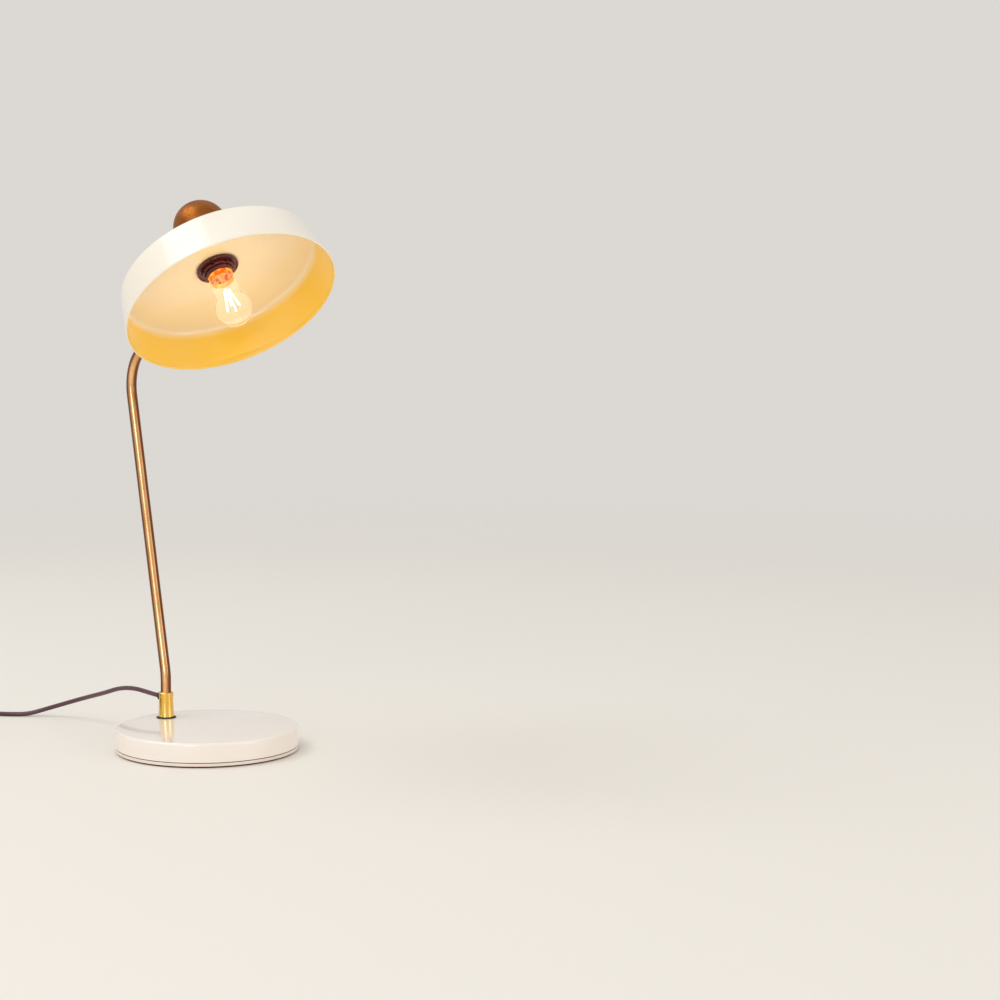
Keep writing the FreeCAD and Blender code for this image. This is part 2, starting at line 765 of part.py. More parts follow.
cap = newBody("dome_cap", headPlace)
revolve(
    cap,
    [
        (capRadius, capMouth),
        (capRadius, pivotHeight, capRadius, 1),
        (0, pivotHeight + capRadius),
        (0, pivotHeight + capInside, capInside, -1),
        (capInside, pivotHeight),
        (capInside, capMouth),
    ],
)
bossFace = yokeHalf + cell("FrictionWasherThickness") + 2 * cell("PivotRunning")
bossReach = capRadius - cell("CapWall") * 0.75 - bossFace
for side in (1, -1):
    seat = newSketch(cap, "YZ_Plane", (0, 0, bossFace * side))
    addCircle(seat, cell("PivotBoss") / 2, 0, pivotHeight)
    pad(cap, seat, bossReach, reverse=side < 0)
pivotShank = cell("PivotScrewShank") / 2
pivotHead = cell("PivotScrewHead") / 2
screwFace = capRadius - 0.55
for side in (1, -1):
    revolve(
        cap,
        [
            (bossFace * side - side, 0),
            ((capRadius + 2) * side, 0),
            ((capRadius + 2) * side, pivotHead + cell("ThreadClearance")),
            (screwFace * side, pivotHead + cell("ThreadClearance")),
            ((screwFace - cell("PivotScrewHeadDepth")) * side, pivotShank + cell("ThreadClearance")),
            (bossFace * side - side, pivotShank + cell("ThreadClearance")),
        ],
        axis="H_Axis",
        shift=(0, pivotHeight, 0),
        cut=True,
    )
# The slot that the stem swings in, from SlotDown below the joint's level to SlotUp above it.
slot = newSketch(cap, "YZ_Plane", (0, pivotHeight, 0))
slotInner = capInside - 4
slotOuter = capRadius * 1.6
trace(
    slot,
    [
        polar(slotInner, -cell("SlotDown")),
        polar(slotOuter, -cell("SlotDown")),
        polar(slotOuter, cell("SlotUp")),
        polar(slotInner, cell("SlotUp")),
    ],
)
pocket(cap, slot, cell("TubeDiameter") + 2 * cell("SlotClearance"), midplane=True)

pivots = newBody("pivot_screws", headPlace)
pivotTurned = revolve(
    pivots,
    [
        (yokeInside - 1, 0),
        (screwFace, 0),
        (screwFace, pivotHead),
        (screwFace - cell("PivotScrewHeadDepth"), pivotShank),
        (yokeInside - 1, pivotShank),
    ],
    axis="H_Axis",
    shift=(0, pivotHeight, 0),
)
mirror(pivots, [pivotTurned], "YZ_Plane")

washers = newBody("friction_washers", headPlace)
washerFace = newSketch(washers, "YZ_Plane", (0, 0, yokeHalf + cell("PivotRunning")))
addCircle(washerFace, cell("FrictionWasherDiameter") / 2, 0, pivotHeight)
addCircle(washerFace, pivotShank + cell("ThreadClearance"), 0, pivotHeight)
washerPad = pad(washers, washerFace, cell("FrictionWasherThickness"))
mirror(washers, [washerPad], "YZ_Plane")

bridgeTop = cell("BridgeHeight") + cell("BridgeThickness")
nippleRadius = cell("NippleDiameter") / 2
nippleHole = nippleRadius + cell("ThreadClearance")
bridgeRadius = capInside - 0.05
bridge = newBody("cap_bridge", headPlace)
revolve(
    bridge,
    [
        (nippleHole, cell("BridgeHeight")),
        (bridgeRadius - cell("CapWall"), cell("BridgeHeight")),
        (bridgeRadius - cell("CapWall"), cell("BridgeHeight") - cell("BridgeFlange")),
        (bridgeRadius, cell("BridgeHeight") - cell("BridgeFlange")),
        (bridgeRadius, bridgeTop),
        (nippleHole, bridgeTop),
    ],
)
nippleNuts = newBody("nipple_nuts", headPlace)
for nutBottom in (cell("BridgeHeight") - cell("NippleNutThickness"), bridgeTop):
    nutSketch = newSketch(nippleNuts, "XY_Plane", (0, 0, nutBottom))
    trace(nutSketch, hexagon(cell("NippleNutFlats")))
    addCircle(nutSketch, nippleHole)
    pad(nippleNuts, nutSketch, cell("NippleNutThickness"))

holderTop = cell("BridgeHeight") - cell("NippleNutThickness")
nippleTop = bridgeTop + cell("NippleNutThickness") + 0.8
ring("holder_nipple", cell("NippleBore") / 2, nippleRadius, holderTop - 4.5, nippleTop, headPlace)

holderCap = newBody("holder_cap", headPlace)
holderRadius = cell("HolderCapDiameter") / 2
split = holderTop - cell("HolderCapHeight")
threadInside = barrelRadius - 0.8
revolve(
    holderCap,
    [
        (holderRadius, split),
        (holderRadius, split + 4, 10, 1),
        (nippleHole + 4, holderTop),
        (nippleHole, holderTop),
        (nippleHole, holderTop - 4.5),
        (threadInside + cell("ThreadClearance"), split + 5),
        (threadInside + cell("ThreadClearance"), split),
    ],
)

ringBottom = cell("ShadeDepth") - wall - cell("RingFlange")
mouth = cell("BarrelMouth")
bore = cell("BarrelBore") / 2
insertBottom = split - cell("InsertThickness") - 4
barrel = newBody("holder_barrel", headPlace)
insertRadius = bore - cell("MouthStep")
revolve(
    barrel,
    [
        (bore, mouth),
        (barrelRadius - 0.6, mouth),
        (barrelRadius - 0.6, mouth + 2),
        (barrelRadius, mouth + 2.4),
        (barrelRadius, split),
        (threadInside, split),
        (threadInside, split + 4),
        (insertRadius, split + 4),
        (insertRadius, insertBottom),
        (bore, insertBottom),
    ],
)

ringRadius = cell("RingDiameter") / 2
hubRadius = cell("RingHubDiameter") / 2
shadeRing = newBody("shade_ring", headPlace)
ringTurned = revolve(
    shadeRing,
    [
        (barrelRadius + cell("ThreadClearance"), ringBottom - cell("RingHubDrop")),
        (hubRadius - 0.8, ringBottom - cell("RingHubDrop")),
        (hubRadius, ringBottom - cell("RingHubDrop") + 0.8),
        (hubRadius, ringBottom + 0.9),
        (ringRadius - 1.6, ringBottom + 0.9),
        (ringRadius - 1.2, ringBottom),
        (ringRadius - 0.4, ringBottom),
        (ringRadius, ringBottom + 0.4),
        (ringRadius, cell("ShadeDepth") - wall),
        (barrelRadius + cell("ThreadClearance"), cell("ShadeDepth") - wall),
    ],
)
grip = newSketch(shadeRing, "XY_Plane", (0, 0, ringBottom + 0.9))
addCircle(grip, 1.1, hubRadius, 0)
gripCut = pocket(shadeRing, grip, cell("RingHubDrop") + 1)
pattern(shadeRing, [gripCut], 8)

shellOutside = cell("ShellDiameter") / 2
shellInside = shellOutside - cell("ShellWall")
insertTop = insertBottom + cell("InsertThickness") + 4
insert = newBody("holder_insert", headPlace)
contactTop = insertTop - 2.5
revolve(
    insert,
    [
        (shellOutside + cell("ThreadClearance"), insertBottom),
        (insertRadius - cell("ThreadClearance"), insertBottom),
        (insertRadius - cell("ThreadClearance"), insertTop),
        (0, insertTop),
        (0, contactTop),
        (shellOutside + cell("ThreadClearance"), contactTop),
    ],
)
shellBottom = insertBottom - 2.2
ring("socket_shell", shellInside, shellOutside, shellBottom, contactTop, headPlace)
contact = newBody("centre_contact", headPlace)
contactDisc = newSketch(contact, "XY_Plane", (0, 0, contactTop - cell("ContactThickness")))
addCircle(contactDisc, 2.4)
pad(contact, contactDisc, cell("ContactThickness"))
terminals = newBody("terminal_screws", headPlace)
terminalDisc = newSketch(terminals, "XY_Plane", (0, 0, insertTop))
addCircle(terminalDisc, 1.7, 7.0, 0)
terminalPad = pad(terminals, terminalDisc, 1.6)
pattern(terminals, [terminalPad], 2)

bulbTop = contactTop - cell("ContactThickness") - 0.05
bulbCapBottom = bulbTop - cell("BulbCapLength")
bulbCapRadius = cell("BulbCapDiameter") / 2
bulbCap = newBody("bulb_cap", headPlace)
revolve(
    bulbCap,
    [
        (0, bulbCapBottom),
        (bulbCapRadius, bulbCapBottom),
        (bulbCapRadius, bulbTop - 2.4),
        (bulbCapRadius * 0.55, bulbTop - 0.9),
        (bulbCapRadius * 0.35, bulbTop),
        (0, bulbTop),
    ],
)
globe = cell("BulbGlobeDiameter") / 2
neck = cell("BulbNeckDiameter") / 2
glass = cell("GlassWall")
globeCentre = -cell("BulbGlobeDrop")
neckTop = bulbCapBottom - 2.6
# The globe runs into the neck at the height where its circle is as narrow as the neck.
neckStart = globeCentre + math.sqrt(globe.value**2 - neck.value**2)
neckStart = Dim(neckStart.value, f"({globeCentre.text} + sqrt({globe.text}^2 - {neck.text}^2))")
bulbGlass = newBody("bulb_glass", headPlace)
revolve(
    bulbGlass,
    [
        (0, globeCentre - globe, globe, 1),
        (globe, globeCentre, globe, 1),
        (neck, neckStart),
        (neck, neckTop),
        (bulbCapRadius - 0.4, bulbCapBottom),
        (bulbCapRadius - 0.4 - glass, bulbCapBottom),
        (neck - glass, neckTop - glass / 2),
        (neck - glass, neckStart),
        (globe - glass, globeCentre, globe - glass, -1),
        (0, globeCentre - globe + glass),
    ],
)
filamentTop = 16.0
mount = newBody("bulb_mount", headPlace)
revolve(
    mount,
    [
        (0, filamentTop + 1),
        (1.2, filamentTop + 1),
        (1.6, filamentTop + 9),
        (4.0, bulbCapBottom),
        (0, bulbCapBottom),
    ],
)
# Four straight filaments lean out from the mount, each with its ends on a thin support wire.
filamentRadius = size["FilamentDiameter"] / 2
filamentLength = size["FilamentLength"]
filamentStart = 2.2
rods = []
wires = []
for quarter in range(4):
    turn = Rotation(Vector(0, 0, 1), 45 + 90 * quarter)
    lean = math.radians(size["FilamentLean"])
    way = turn.multVec(Vector(math.sin(lean), 0, -math.cos(lean)))
    top = turn.multVec(Vector(filamentStart, 0, filamentTop))
    rods.append(Part.makeCylinder(filamentRadius, filamentLength, top, way))
    foot = top + way * filamentLength
    hookUp = Vector(0, 0, filamentTop - filamentLength + 1)
    wires.append(Part.makeCylinder(0.3, (hookUp - foot).Length, foot, hookUp - foot))
addFeature("filaments", Part.makeCompound(rods), headPlace)
centreWire = Part.makeCylinder(0.45, filamentLength + 1, Vector(0, 0, filamentTop - filamentLength), Vector(0, 0, 1))
support = centreWire.multiFuse(wires).cut(Part.makeCompound(rods))
addFeature("filament_support", support, headPlace)


# --- flexible leads and the cord ---
def arcBetween(start, way, finish):
    """The arc that leaves start along way and ends at finish."""
    chord = finish - start
    aside = chord - way * chord.dot(way)
    if aside.Length < 1e-6:
        return Part.LineSegment(start, finish).toShape()
    radius = chord.dot(chord) / (2 * aside.Length)
    centre = start + aside.normalize() * radius
    middle = (start + finish) * 0.5 - centre
    if chord.dot(way) < 0:
        middle = -middle
    return Part.Arc(start, centre + middle.normalize() * radius, finish).toShape()


def roundedRoute(points, report=None):
    """Straight runs joined by tangent arcs, each arc as large as its two runs allow."""
    edges = []
    radii = []
    here = points[0]
    for before, corner, after in zip(points, points[1:], points[2:]):
        inward = corner - before
        outward = after - corner
        turn = inward.getAngle(outward)
        trim = 0.45 * min(inward.Length, outward.Length)
        radii.append(trim / math.tan(turn / 2))
        start = corner - inward.normalize() * trim
        finish = corner + outward.normalize() * trim
        edges.append(Part.LineSegment(here, start).toShape())
        edges.append(arcBetween(start, inward, finish))
        here = finish
    edges.append(Part.LineSegment(here, points[-1]).toShape())
    wire = Part.Wire(edges)
    if report:
        print(report, "length", round(wire.Length, 1), "radii", [round(radius) for radius in radii])
    return wire


def tubeAlong(wire, diameter, label):
    """A round solid along a wire. Its volume is compared with its section times its length."""
    first = wire.OrderedEdges[0]
    start = first.valueAt(first.FirstParameter)
    way = first.tangentAt(first.FirstParameter)
    section = Part.Wire(Part.makeCircle(diameter / 2, start, way))
    solid = wire.makePipeShell([section], True, False)
    expected = math.pi * diameter**2 / 4 * wire.Length
    if abs(solid.Volume / expected - 1) > 0.02:
        raise RuntimeError(f"{label}: volume {solid.Volume:.0f}, expected {expected:.0f}")
    return solid


leadDiameter = 1.9
leadShapes = []
for side in (1, -1):
    leadPoints = [
        Vector(7.0 * side, 0, insertTop.value + 1.6),
        Vector(7.0 * side, 0, insertTop.value + 3.6),
        Vector(1.5 * side, 0, holderTop.value - 5.5),
        Vector(1.4 * side, 0.3, pivotHeight.value - 12),
        Vector(1.4 * side, 3.6, pivotHeight.value - 2),
    ]
    leadShapes.append(tubeAlong(roundedRoute(leadPoints), leadDiameter, "head_leads"))
addFeature("head_leads", Part.makeCompound(leadShapes), headPlace)

cordDiameter = size["CordDiameter"]
floorLine = cordDiameter / 2
exitY = size["FerruleSetback"] + grommetFace.value + size["GrommetLength"]
exitZ = size["GrommetHeight"]
# From the ferrule: straight back, a low rise, then down to the table and away to the side.
switchRight = Vector(-81, 327, size["SwitchHeight"] / 2)
switchMiddle = switchRight - Vector(size["SwitchLength"] / 2, 0, 0)
switchLeft = switchRight - Vector(size["SwitchLength"], 0, 0)
cordInside = Vector(9, 0, 0)
lampRun = [
    Vector(0, exitY, exitZ),
    Vector(0, exitY + 6, exitZ),
    Vector(0.5, exitY + 19, exitZ + 0.8),
    Vector(1.5, 118, 47),
    Vector(3, 144, 43.5),
    Vector(5, 170, 35.2),
    Vector(7, 196, 28),
    Vector(7, 221, 20.7),
    Vector(2.5, 244, 13.2),
    Vector(-6, 262, 6.8),
    Vector(-19, 273, floorLine),
    Vector(-32, 286, floorLine),
    Vector(-43, 303, floorLine),
    Vector(-55, 318, floorLine + 2.4),
    Vector(-71, 327, switchRight.z),
    switchRight - cordInside,
]
coilCentre = Vector(-150, 244, 0)
layers = 4
turnsPerLayer = 2
coilOuter = size["CoilMiddleDiameter"] / 2 + size["CoilPitch"] * turnsPerLayer / 2
linkEnd = coilCentre + Vector(-coilOuter, cordDiameter, floorLine)
linkRun = [
    switchLeft + cordInside,
    switchLeft - Vector(9, 0, 0),
    switchLeft + Vector(-25, -6, -2.6),
    Vector(-179.5, 308, floorLine),
    Vector(-182.3, 289, floorLine),
    Vector(-181.2, 270, floorLine),
    Vector(linkEnd.x, linkEnd.y + 13, floorLine),
    linkEnd,
]
addFeature("cord_lamp_run", tubeAlong(roundedRoute(lampRun, "lamp run"), cordDiameter, "cord_lamp_run"))
addFeature("cord_coil_link", tubeAlong(roundedRoute(linkRun, "coil link"), cordDiameter, "cord_coil_link"))


def coilPoint(turn):
    """A point of the coil after so many turns: it spirals in and out at a steady rate and climbs one
    layer in the half turn about each reversal."""
    layer = min(int(turn / turnsPerLayer), layers - 1)
    within = turn - layer * turnsPerLayer
    inward = within if layer % 2 == 0 else turnsPerLayer - within
    radius = coilOuter - size["CoilPitch"] * inward
    climb = 0.0
    for reversal in range(1, layers):
        step = (turn - reversal * turnsPerLayer + 0.25) / 0.5
        step = min(max(step, 0.0), 1.0)
        climb += step * step * (3 - 2 * step)
    angle = math.pi + 2 * math.pi * turn
    around = Vector(math.cos(angle), math.sin(angle), 0) * radius
    return coilCentre + around + Vector(0, 0, floorLine + size["CoilLayer"] * climb)


def coilWay(turn):
    step = 1e-4
    return (coilPoint(turn + step) - coilPoint(turn - step)).normalize()


def biarc(start, startWay, finish, finishWay):
    """Two arcs that meet smoothly, from one point and direction to another."""
    gap = finish - start
    ways = startWay + finishWay
    spread = 2 * (1 - startWay.dot(finishWay))
    mixed = gap.dot(ways)
    if spread < 1e-9:
        reach = gap.dot(gap) / (4 * gap.dot(finishWay))
    else:
        reach = (-mixed + math.sqrt(mixed**2 + spread * gap.dot(gap))) / spread
    joint = (start + finish + (startWay - finishWay) * reach) * 0.5
    halfway = (finish - finishWay * reach - start - startWay * reach).normalize()
    return [arcBetween(start, startWay, joint), arcBetween(joint, halfway, finish)]


coilTurns = layers * turnsPerLayer
spans = 4 * coilTurns
marks = [span / 4 for span in range(spans + 1)]
ways = [coilWay(mark) for mark in marks]
ways[0] = Vector(0, -1, 0)
ways[-1] = Vector(0, -1, 0)
coilEdges = [Part.LineSegment(linkEnd, coilPoint(0)).toShape()]
for span in range(spans):
    coilEdges += biarc(coilPoint(marks[span]), ways[span], coilPoint(marks[span + 1]), ways[span + 1])
coilEnd = coilPoint(coilTurns) + Vector(0, -cordDiameter, 0)
coilEdges.append(Part.LineSegment(coilPoint(coilTurns), coilEnd).toShape())
coilWire = Part.Wire(coilEdges)
addFeature("cord_coil", tubeAlong(coilWire, cordDiameter, "cord_coil"))
samples = [coilPoint(step / 96) for step in range(96 * coilTurns + 1)]
leastGap = min(
    (samples[one] - samples[two]).Length
    for one in range(0, len(samples), 3)
    for two in range(one + 48, len(samples))
)
print("coil: length", round(coilWire.Length, 1), "least gap to itself", round(leastGap - cordDiameter, 2))

plugAxis = size["PlugThickness"] / 2
plugTurn = Rotation(Vector(0, 0, 1), -45)
plugWay = plugTurn.multVec(Vector(0, -1, 0))
plugBend = Vector(coilEnd.x - 10.8, coilEnd.y - 38.4, plugAxis)
reliefStart = plugBend + plugWay * 10
cordGrip = 8.5
tailRun = [
    coilEnd,
    coilEnd + Vector(0, -11, 0),
    Vector(coilEnd.x - 1.1, coilEnd.y - 23.4, plugAxis + 5.75),
    plugBend,
    reliefStart + plugWay * cordGrip,
]
addFeature("cord_plug_tail", tubeAlong(roundedRoute(tailRun, "plug tail"), cordDiameter, "cord_plug_tail"))

# --- plug, drawn with the cord entering from the rear and the pins pointing along -Y ---
plugPlace = Placement(reliefStart, plugTurn)
plug = newBody("plug_body", plugPlace)
plugOutline = newSketch(plug, "XY_Plane")
relief = cell("PlugReliefLength")
plugFace = relief + cell("PlugLength")
plugHalf = cell("PlugWidth") / 2
trace(
    plugOutline,
    [
        (-plugHalf, -plugFace),
        (plugHalf, -plugFace),
        (plugHalf, -plugFace + cell("PlugLength") * 0.35),
        (plugHalf * 0.42, -relief),
        (-plugHalf * 0.42, -relief),
        (-plugHalf, -plugFace + cell("PlugLength") * 0.35),
    ],
)
pad(plug, plugOutline, cell("PlugThickness"), midplane=True)


def plugEdge(edge):
    box = edge.BoundBox
    lies = box.ZLength < 0.01 and box.YMin > -plugFace.value + 0.5
    return lies or (box.XLength < 0.01 and box.YLength < 0.01 and box.YMin > -plugFace.value + 0.5)


roundEdges(plug, 2.2, plugEdge)
revolve(
    plug,
    [
        (0, -relief - 2),
        (5.4, -relief - 2),
        (5.2, -relief),
        (cordBore + 1.1, -1.0),
        (cordBore + 0.7, 0),
        (0, 0),
    ],
    role="XY_Plane",
)
cordEntry = newSketch(plug, "XZ_Plane")
addCircle(cordEntry, cordBore)
pocket(plug, cordEntry, cordGrip, reverse=True)
pinRadius = cell("PlugPinDiameter") / 2
pinShift = cell("PlugPinSpacing") / 2
pinRoot = plugFace - cell("PlugPinBite")
pinTip = plugFace + cell("PlugPinLength")
for side in (1, -1):
    pinSeat = newSketch(plug, "XZ_Plane", (0, 0, pinRoot))
    addCircle(pinSeat, pinRadius + cell("ThreadClearance"), pinShift * side, 0)
    pocket(plug, pinSeat, cell("PlugPinBite") + 1, reverse=True)
pins = newBody("plug_pins", plugPlace)
pinTurned = revolve(
    pins,
    [
        (0, -pinRoot),
        (pinRadius, -pinRoot),
        (pinRadius, -pinTip + 1.2),
        (pinRadius * 0.45, -pinTip),
        (0, -pinTip),
    ],
    role="XY_Plane",
    shift=(pinShift, 0, 0),
)
mirror(pins, [pinTurned], "YZ_Plane")

# --- cord switch: two shells, a cradle and a rocker, drawn about the cord's line at mid height ---
switchHeight = cell("SwitchHeight")
switchPlace = Placement(Vector(switchMiddle.x, switchMiddle.y, 0), Rotation())
switchHalf = cell("SwitchLength") / 2
switchSide = cell("SwitchWidth") / 2
switchWall = cell("SwitchWall")
splitHeight = switchHeight / 2


def capsule(half, side):
    """A long shape with half-round ends, each end drawn as two quarter circles."""
    straight = half - side
    return [
        (-straight, -side),
        (straight, -side, side, 1),
        (half, 0, side, 1),
        (straight, side),
        (-straight, side, side, 1),
        (-half, 0, side, 1),
    ]


def softEdges(height):
    def wanted(edge):
        box = edge.BoundBox
        return box.ZLength < 0.01 and abs(box.ZMin - height) < 0.01

    return wanted


cradleHalf = cell("RockerLength") / 2 + 1.5
cradleSide = cell("RockerWidth") / 2 + cell("RockerClearance")
pinHeight = switchHeight - 5.6
for label, bottom, top in (
    ("switch_lower_shell", asDim(0), splitHeight),
    ("switch_upper_shell", splitHeight, switchHeight),
):
    shell = newBody(label, switchPlace)
    outline = newSketch(shell, "XY_Plane", (0, 0, bottom))
    trace(outline, capsule(switchHalf, switchSide))
    pad(shell, outline, top - bottom)
    upper = label == "switch_upper_shell"
    roundEdges(shell, 2.4, softEdges(top.value if upper else bottom.value))
    cavity = newSketch(shell, "XY_Plane", (0, 0, bottom if upper else bottom + switchWall))
    trace(cavity, capsule(switchHalf - switchWall - 6, switchSide - switchWall))
    pocket(shell, cavity, top - bottom - switchWall, reverse=True)
    entries = newSketch(shell, "YZ_Plane")
    addCircle(entries, cordBore, 0, splitHeight)
    pocket(shell, entries, switchHalf * 2 + 2, midplane=True)
    if upper:
        opening = newSketch(shell, "XY_Plane", (0, 0, switchHeight))
        gapX = cell("RockerLength") / 2 + cell("RockerClearance") + 0.8
        gapY = cell("RockerWidth") / 2 + cell("RockerClearance")
        trace(opening, [(-gapX, -gapY), (gapX, -gapY), (gapX, gapY), (-gapX, gapY)])
        pocket(shell, opening, switchWall + 1)

cradle = newBody("switch_cradle", switchPlace)
cradleBlock = newSketch(cradle, "XY_Plane", (0, 0, switchWall))
cradleWall = switchSide - switchWall - 0.2
trace(
    cradleBlock,
    [(-cradleHalf, -cradleWall), (cradleHalf, -cradleWall), (cradleHalf, cradleWall), (-cradleHalf, cradleWall)],
)
pad(cradle, cradleBlock, switchHeight - 2 * switchWall)
cradleGap = newSketch(cradle, "YZ_Plane")
trace(
    cradleGap,
    [
        (-cradleSide, switchWall + 2),
        (cradleSide, switchWall + 2),
        (cradleSide, switchHeight),
        (-cradleSide, switchHeight),
    ],
)
pocket(cradle, cradleGap, cradleHalf * 2 + 2, midplane=True)
pinBore = newSketch(cradle, "XZ_Plane")
addCircle(pinBore, cell("RockerPin") / 2 + cell("PivotRunning"), 0, pinHeight)
pocket(cradle, pinBore, switchSide * 2, midplane=True)

rockerPlace = switchPlace * Placement(Vector(0, 0, pinHeight.value), Rotation(Vector(0, 1, 0), 7))
rocker = newBody("switch_rocker", rockerPlace)
rockerHalf = cell("RockerLength") / 2
rockerSketch = newSketch(rocker, "XZ_Plane")
rockerTop = switchHeight - pinHeight + 1.1
trace(
    rockerSketch,
    [
        (-rockerHalf * 0.55, -1.6),
        (rockerHalf * 0.55, -1.6),
        (rockerHalf, 2.4),
        (rockerHalf, rockerTop, cell("RockerLength") * 1.6, -1),
        (-rockerHalf, rockerTop),
        (-rockerHalf, 2.4),
    ],
)
pad(rocker, rockerSketch, cell("RockerWidth"), midplane=True)
axle = newSketch(rocker, "XZ_Plane")
addCircle(axle, cell("RockerPin") / 2)
pad(rocker, axle, (cradleWall - 0.3) * 2, midplane=True)

# Every object is checked before anything is written.
doc.recompute()
faults = [item.Name for item in doc.Objects if {"Invalid", "Error"} & set(item.State)]
for label, item in parts.items():
    if item.Shape.isNull() or not item.Shape.isValid() or not item.Shape.Solids:
        faults.append(label)
if faults:
    raise RuntimeError("not built: " + ", ".join(faults))
os.makedirs("parts", exist_ok=True)
for label, item in parts.items():
    item.Shape.exportStep(f"parts/{label}.step")
print(len(parts), "nodes,", sum(len(item.Shape.Solids) for item in parts.values()), "solids")
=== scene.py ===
import math
import bmesh
import bpy
import numpy as np
from mathutils import Matrix, Vector


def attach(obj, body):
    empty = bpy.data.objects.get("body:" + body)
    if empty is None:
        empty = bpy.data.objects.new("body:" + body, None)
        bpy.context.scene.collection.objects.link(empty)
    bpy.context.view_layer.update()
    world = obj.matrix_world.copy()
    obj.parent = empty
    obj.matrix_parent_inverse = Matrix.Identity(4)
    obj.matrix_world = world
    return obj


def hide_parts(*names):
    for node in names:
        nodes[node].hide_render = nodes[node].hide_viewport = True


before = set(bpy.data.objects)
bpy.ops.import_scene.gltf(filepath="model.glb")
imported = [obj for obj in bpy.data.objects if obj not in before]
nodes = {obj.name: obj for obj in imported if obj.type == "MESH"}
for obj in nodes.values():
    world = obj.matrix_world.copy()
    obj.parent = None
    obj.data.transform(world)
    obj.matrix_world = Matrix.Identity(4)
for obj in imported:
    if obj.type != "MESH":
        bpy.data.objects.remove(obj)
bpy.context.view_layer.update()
print("frame loaded:", len(nodes), "nodes")

# Places of the lamp's moving groups: a turn and a shift. Shapes are drawn in millimetres in their own
# group's directions and put into the row frame in metres.
lampPose = {
    "ferruleSetback": 64.1,
    "stemTurn": -11.2,
    "pivotReach": 85.2,
    "pivotHeight": 514.8,
    "shadeTilt": -39.8,
    "pivotAboveMouth": 93.0,
}


def turnAbout(axis, degrees):
    return np.array(Matrix.Rotation(math.radians(degrees), 3, axis))


ferruleShift = np.array([0, lampPose["ferruleSetback"], 0])
stemTurn = turnAbout("Z", lampPose["stemTurn"])
headTurn = stemTurn @ turnAbout("X", lampPose["shadeTilt"])
pivotShift = ferruleShift + stemTurn @ np.array([0, -lampPose["pivotReach"], lampPose["pivotHeight"]])
headShift = pivotShift - headTurn @ np.array([0, 0, lampPose["pivotAboveMouth"]])
basePlace = (np.eye(3), np.zeros(3))
ferrulePlace = (np.eye(3), ferruleShift)
stemPlace = (stemTurn, ferruleShift)
headPlace = (headTurn, headShift)


def put(points, place):
    return (np.asarray(points, float) @ place[0].T + place[1]) / 1000


# Points on an arc about (x, y), from one angle to another in degrees.
def arc(x, y, radius, start, end, steps=16):
    angle = np.radians(np.linspace(start, end, steps + 1))
    return [(x + radius * c, y + radius * s) for c, s in zip(np.cos(angle), np.sin(angle))]


# Corners (x, y, bend): each corner with a bend becomes an arc tangent to both of its sides.
def outline(corners, steps=6, closed=True):
    points = []
    count = len(corners)
    for place, corner in enumerate(corners):
        bend = corner[2] if len(corner) > 2 else 0
        here = np.array(corner[:2], float)
        if not bend or (not closed and place in (0, count - 1)):
            points.append(here)
            continue
        before = np.array(corners[place - 1][:2], float) - here
        after = np.array(corners[(place + 1) % count][:2], float) - here
        before /= np.linalg.norm(before)
        after /= np.linalg.norm(after)
        half = math.acos(np.clip(before @ after, -1, 1)) / 2
        middle = before + after
        centre = here + middle / np.linalg.norm(middle) * bend / math.sin(half)
        first = here + before * bend / math.tan(half) - centre
        last = here + after * bend / math.tan(half) - centre
        turn = math.atan2(first[0] * last[1] - first[1] * last[0], first @ last)
        share = turn * np.linspace(0, 1, steps + 1)
        across = np.array([-first[1], first[0]])
        points += list(centre + np.outer(np.cos(share), first) + np.outer(np.sin(share), across))
    return np.array(points)


def finishMesh(name, mesh, body, replaced, materials, sharp):
    mesh.polygons.foreach_set("use_smooth", np.ones(len(mesh.polygons), bool))
    mesh.set_sharp_from_angle(angle=math.radians(sharp))
    piece = bpy.data.objects.new(name, mesh)
    bpy.context.scene.collection.objects.link(piece)
    for material in materials:
        mesh.materials.append(material)
    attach(piece, body)
    if replaced:
        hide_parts(*replaced)
    return piece


# A grid of points, rows by columns, whose neighbours are joined by quads. Rows and columns close on
# themselves where asked. Bands give each row of quads its material, uv the grid's own two directions.
def gridPiece(name, grid, place, body, materials, replaced=(), slot=None, closeRows=True,
              closeColumns=True, bands=None, uv=None, sharp=35):
    rows, columns = grid.shape[:2]
    index = np.arange(rows * columns).reshape(rows, columns)
    rowEnd = rows if closeRows else rows - 1
    columnEnd = columns if closeColumns else columns - 1
    right = np.roll(index, -1, 1)
    corners = [index, right, np.roll(right, -1, 0), np.roll(index, -1, 0)]
    faces = np.stack([corner[:rowEnd, :columnEnd] for corner in corners], -1).reshape(-1, 4)
    mesh = bpy.data.meshes.new(name)
    mesh.from_pydata(put(grid.reshape(-1, 3), place).tolist(), [], faces.tolist())
    if bands is not None:
        mesh.polygons.foreach_set("material_index", np.repeat(bands[:rowEnd], columnEnd).astype(np.int32))
    if uv is not None:
        along, around = uv
        rowAt = np.arange(rowEnd)[:, None] + np.array([0, 0, 1, 1])
        columnAt = np.arange(columnEnd)[:, None] + np.array([0, 1, 1, 0])
        pairs = np.empty((rowEnd, columnEnd, 4, 2))
        pairs[..., 0] = along[rowAt][:, None, :]
        pairs[..., 1] = around[columnAt][None, :, :]
        mesh.uv_layers.new(name="UVMap").data.foreach_set("uv", pairs.astype(np.float32).ravel())
    shape = bmesh.new()
    shape.from_mesh(mesh)
    bmesh.ops.remove_doubles(shape, verts=shape.verts, dist=1e-7)
    bmesh.ops.recalc_face_normals(shape, faces=shape.faces)
    shape.to_mesh(mesh)
    shape.free()
    return finishMesh(name, mesh, body, replaced, materials, sharp)


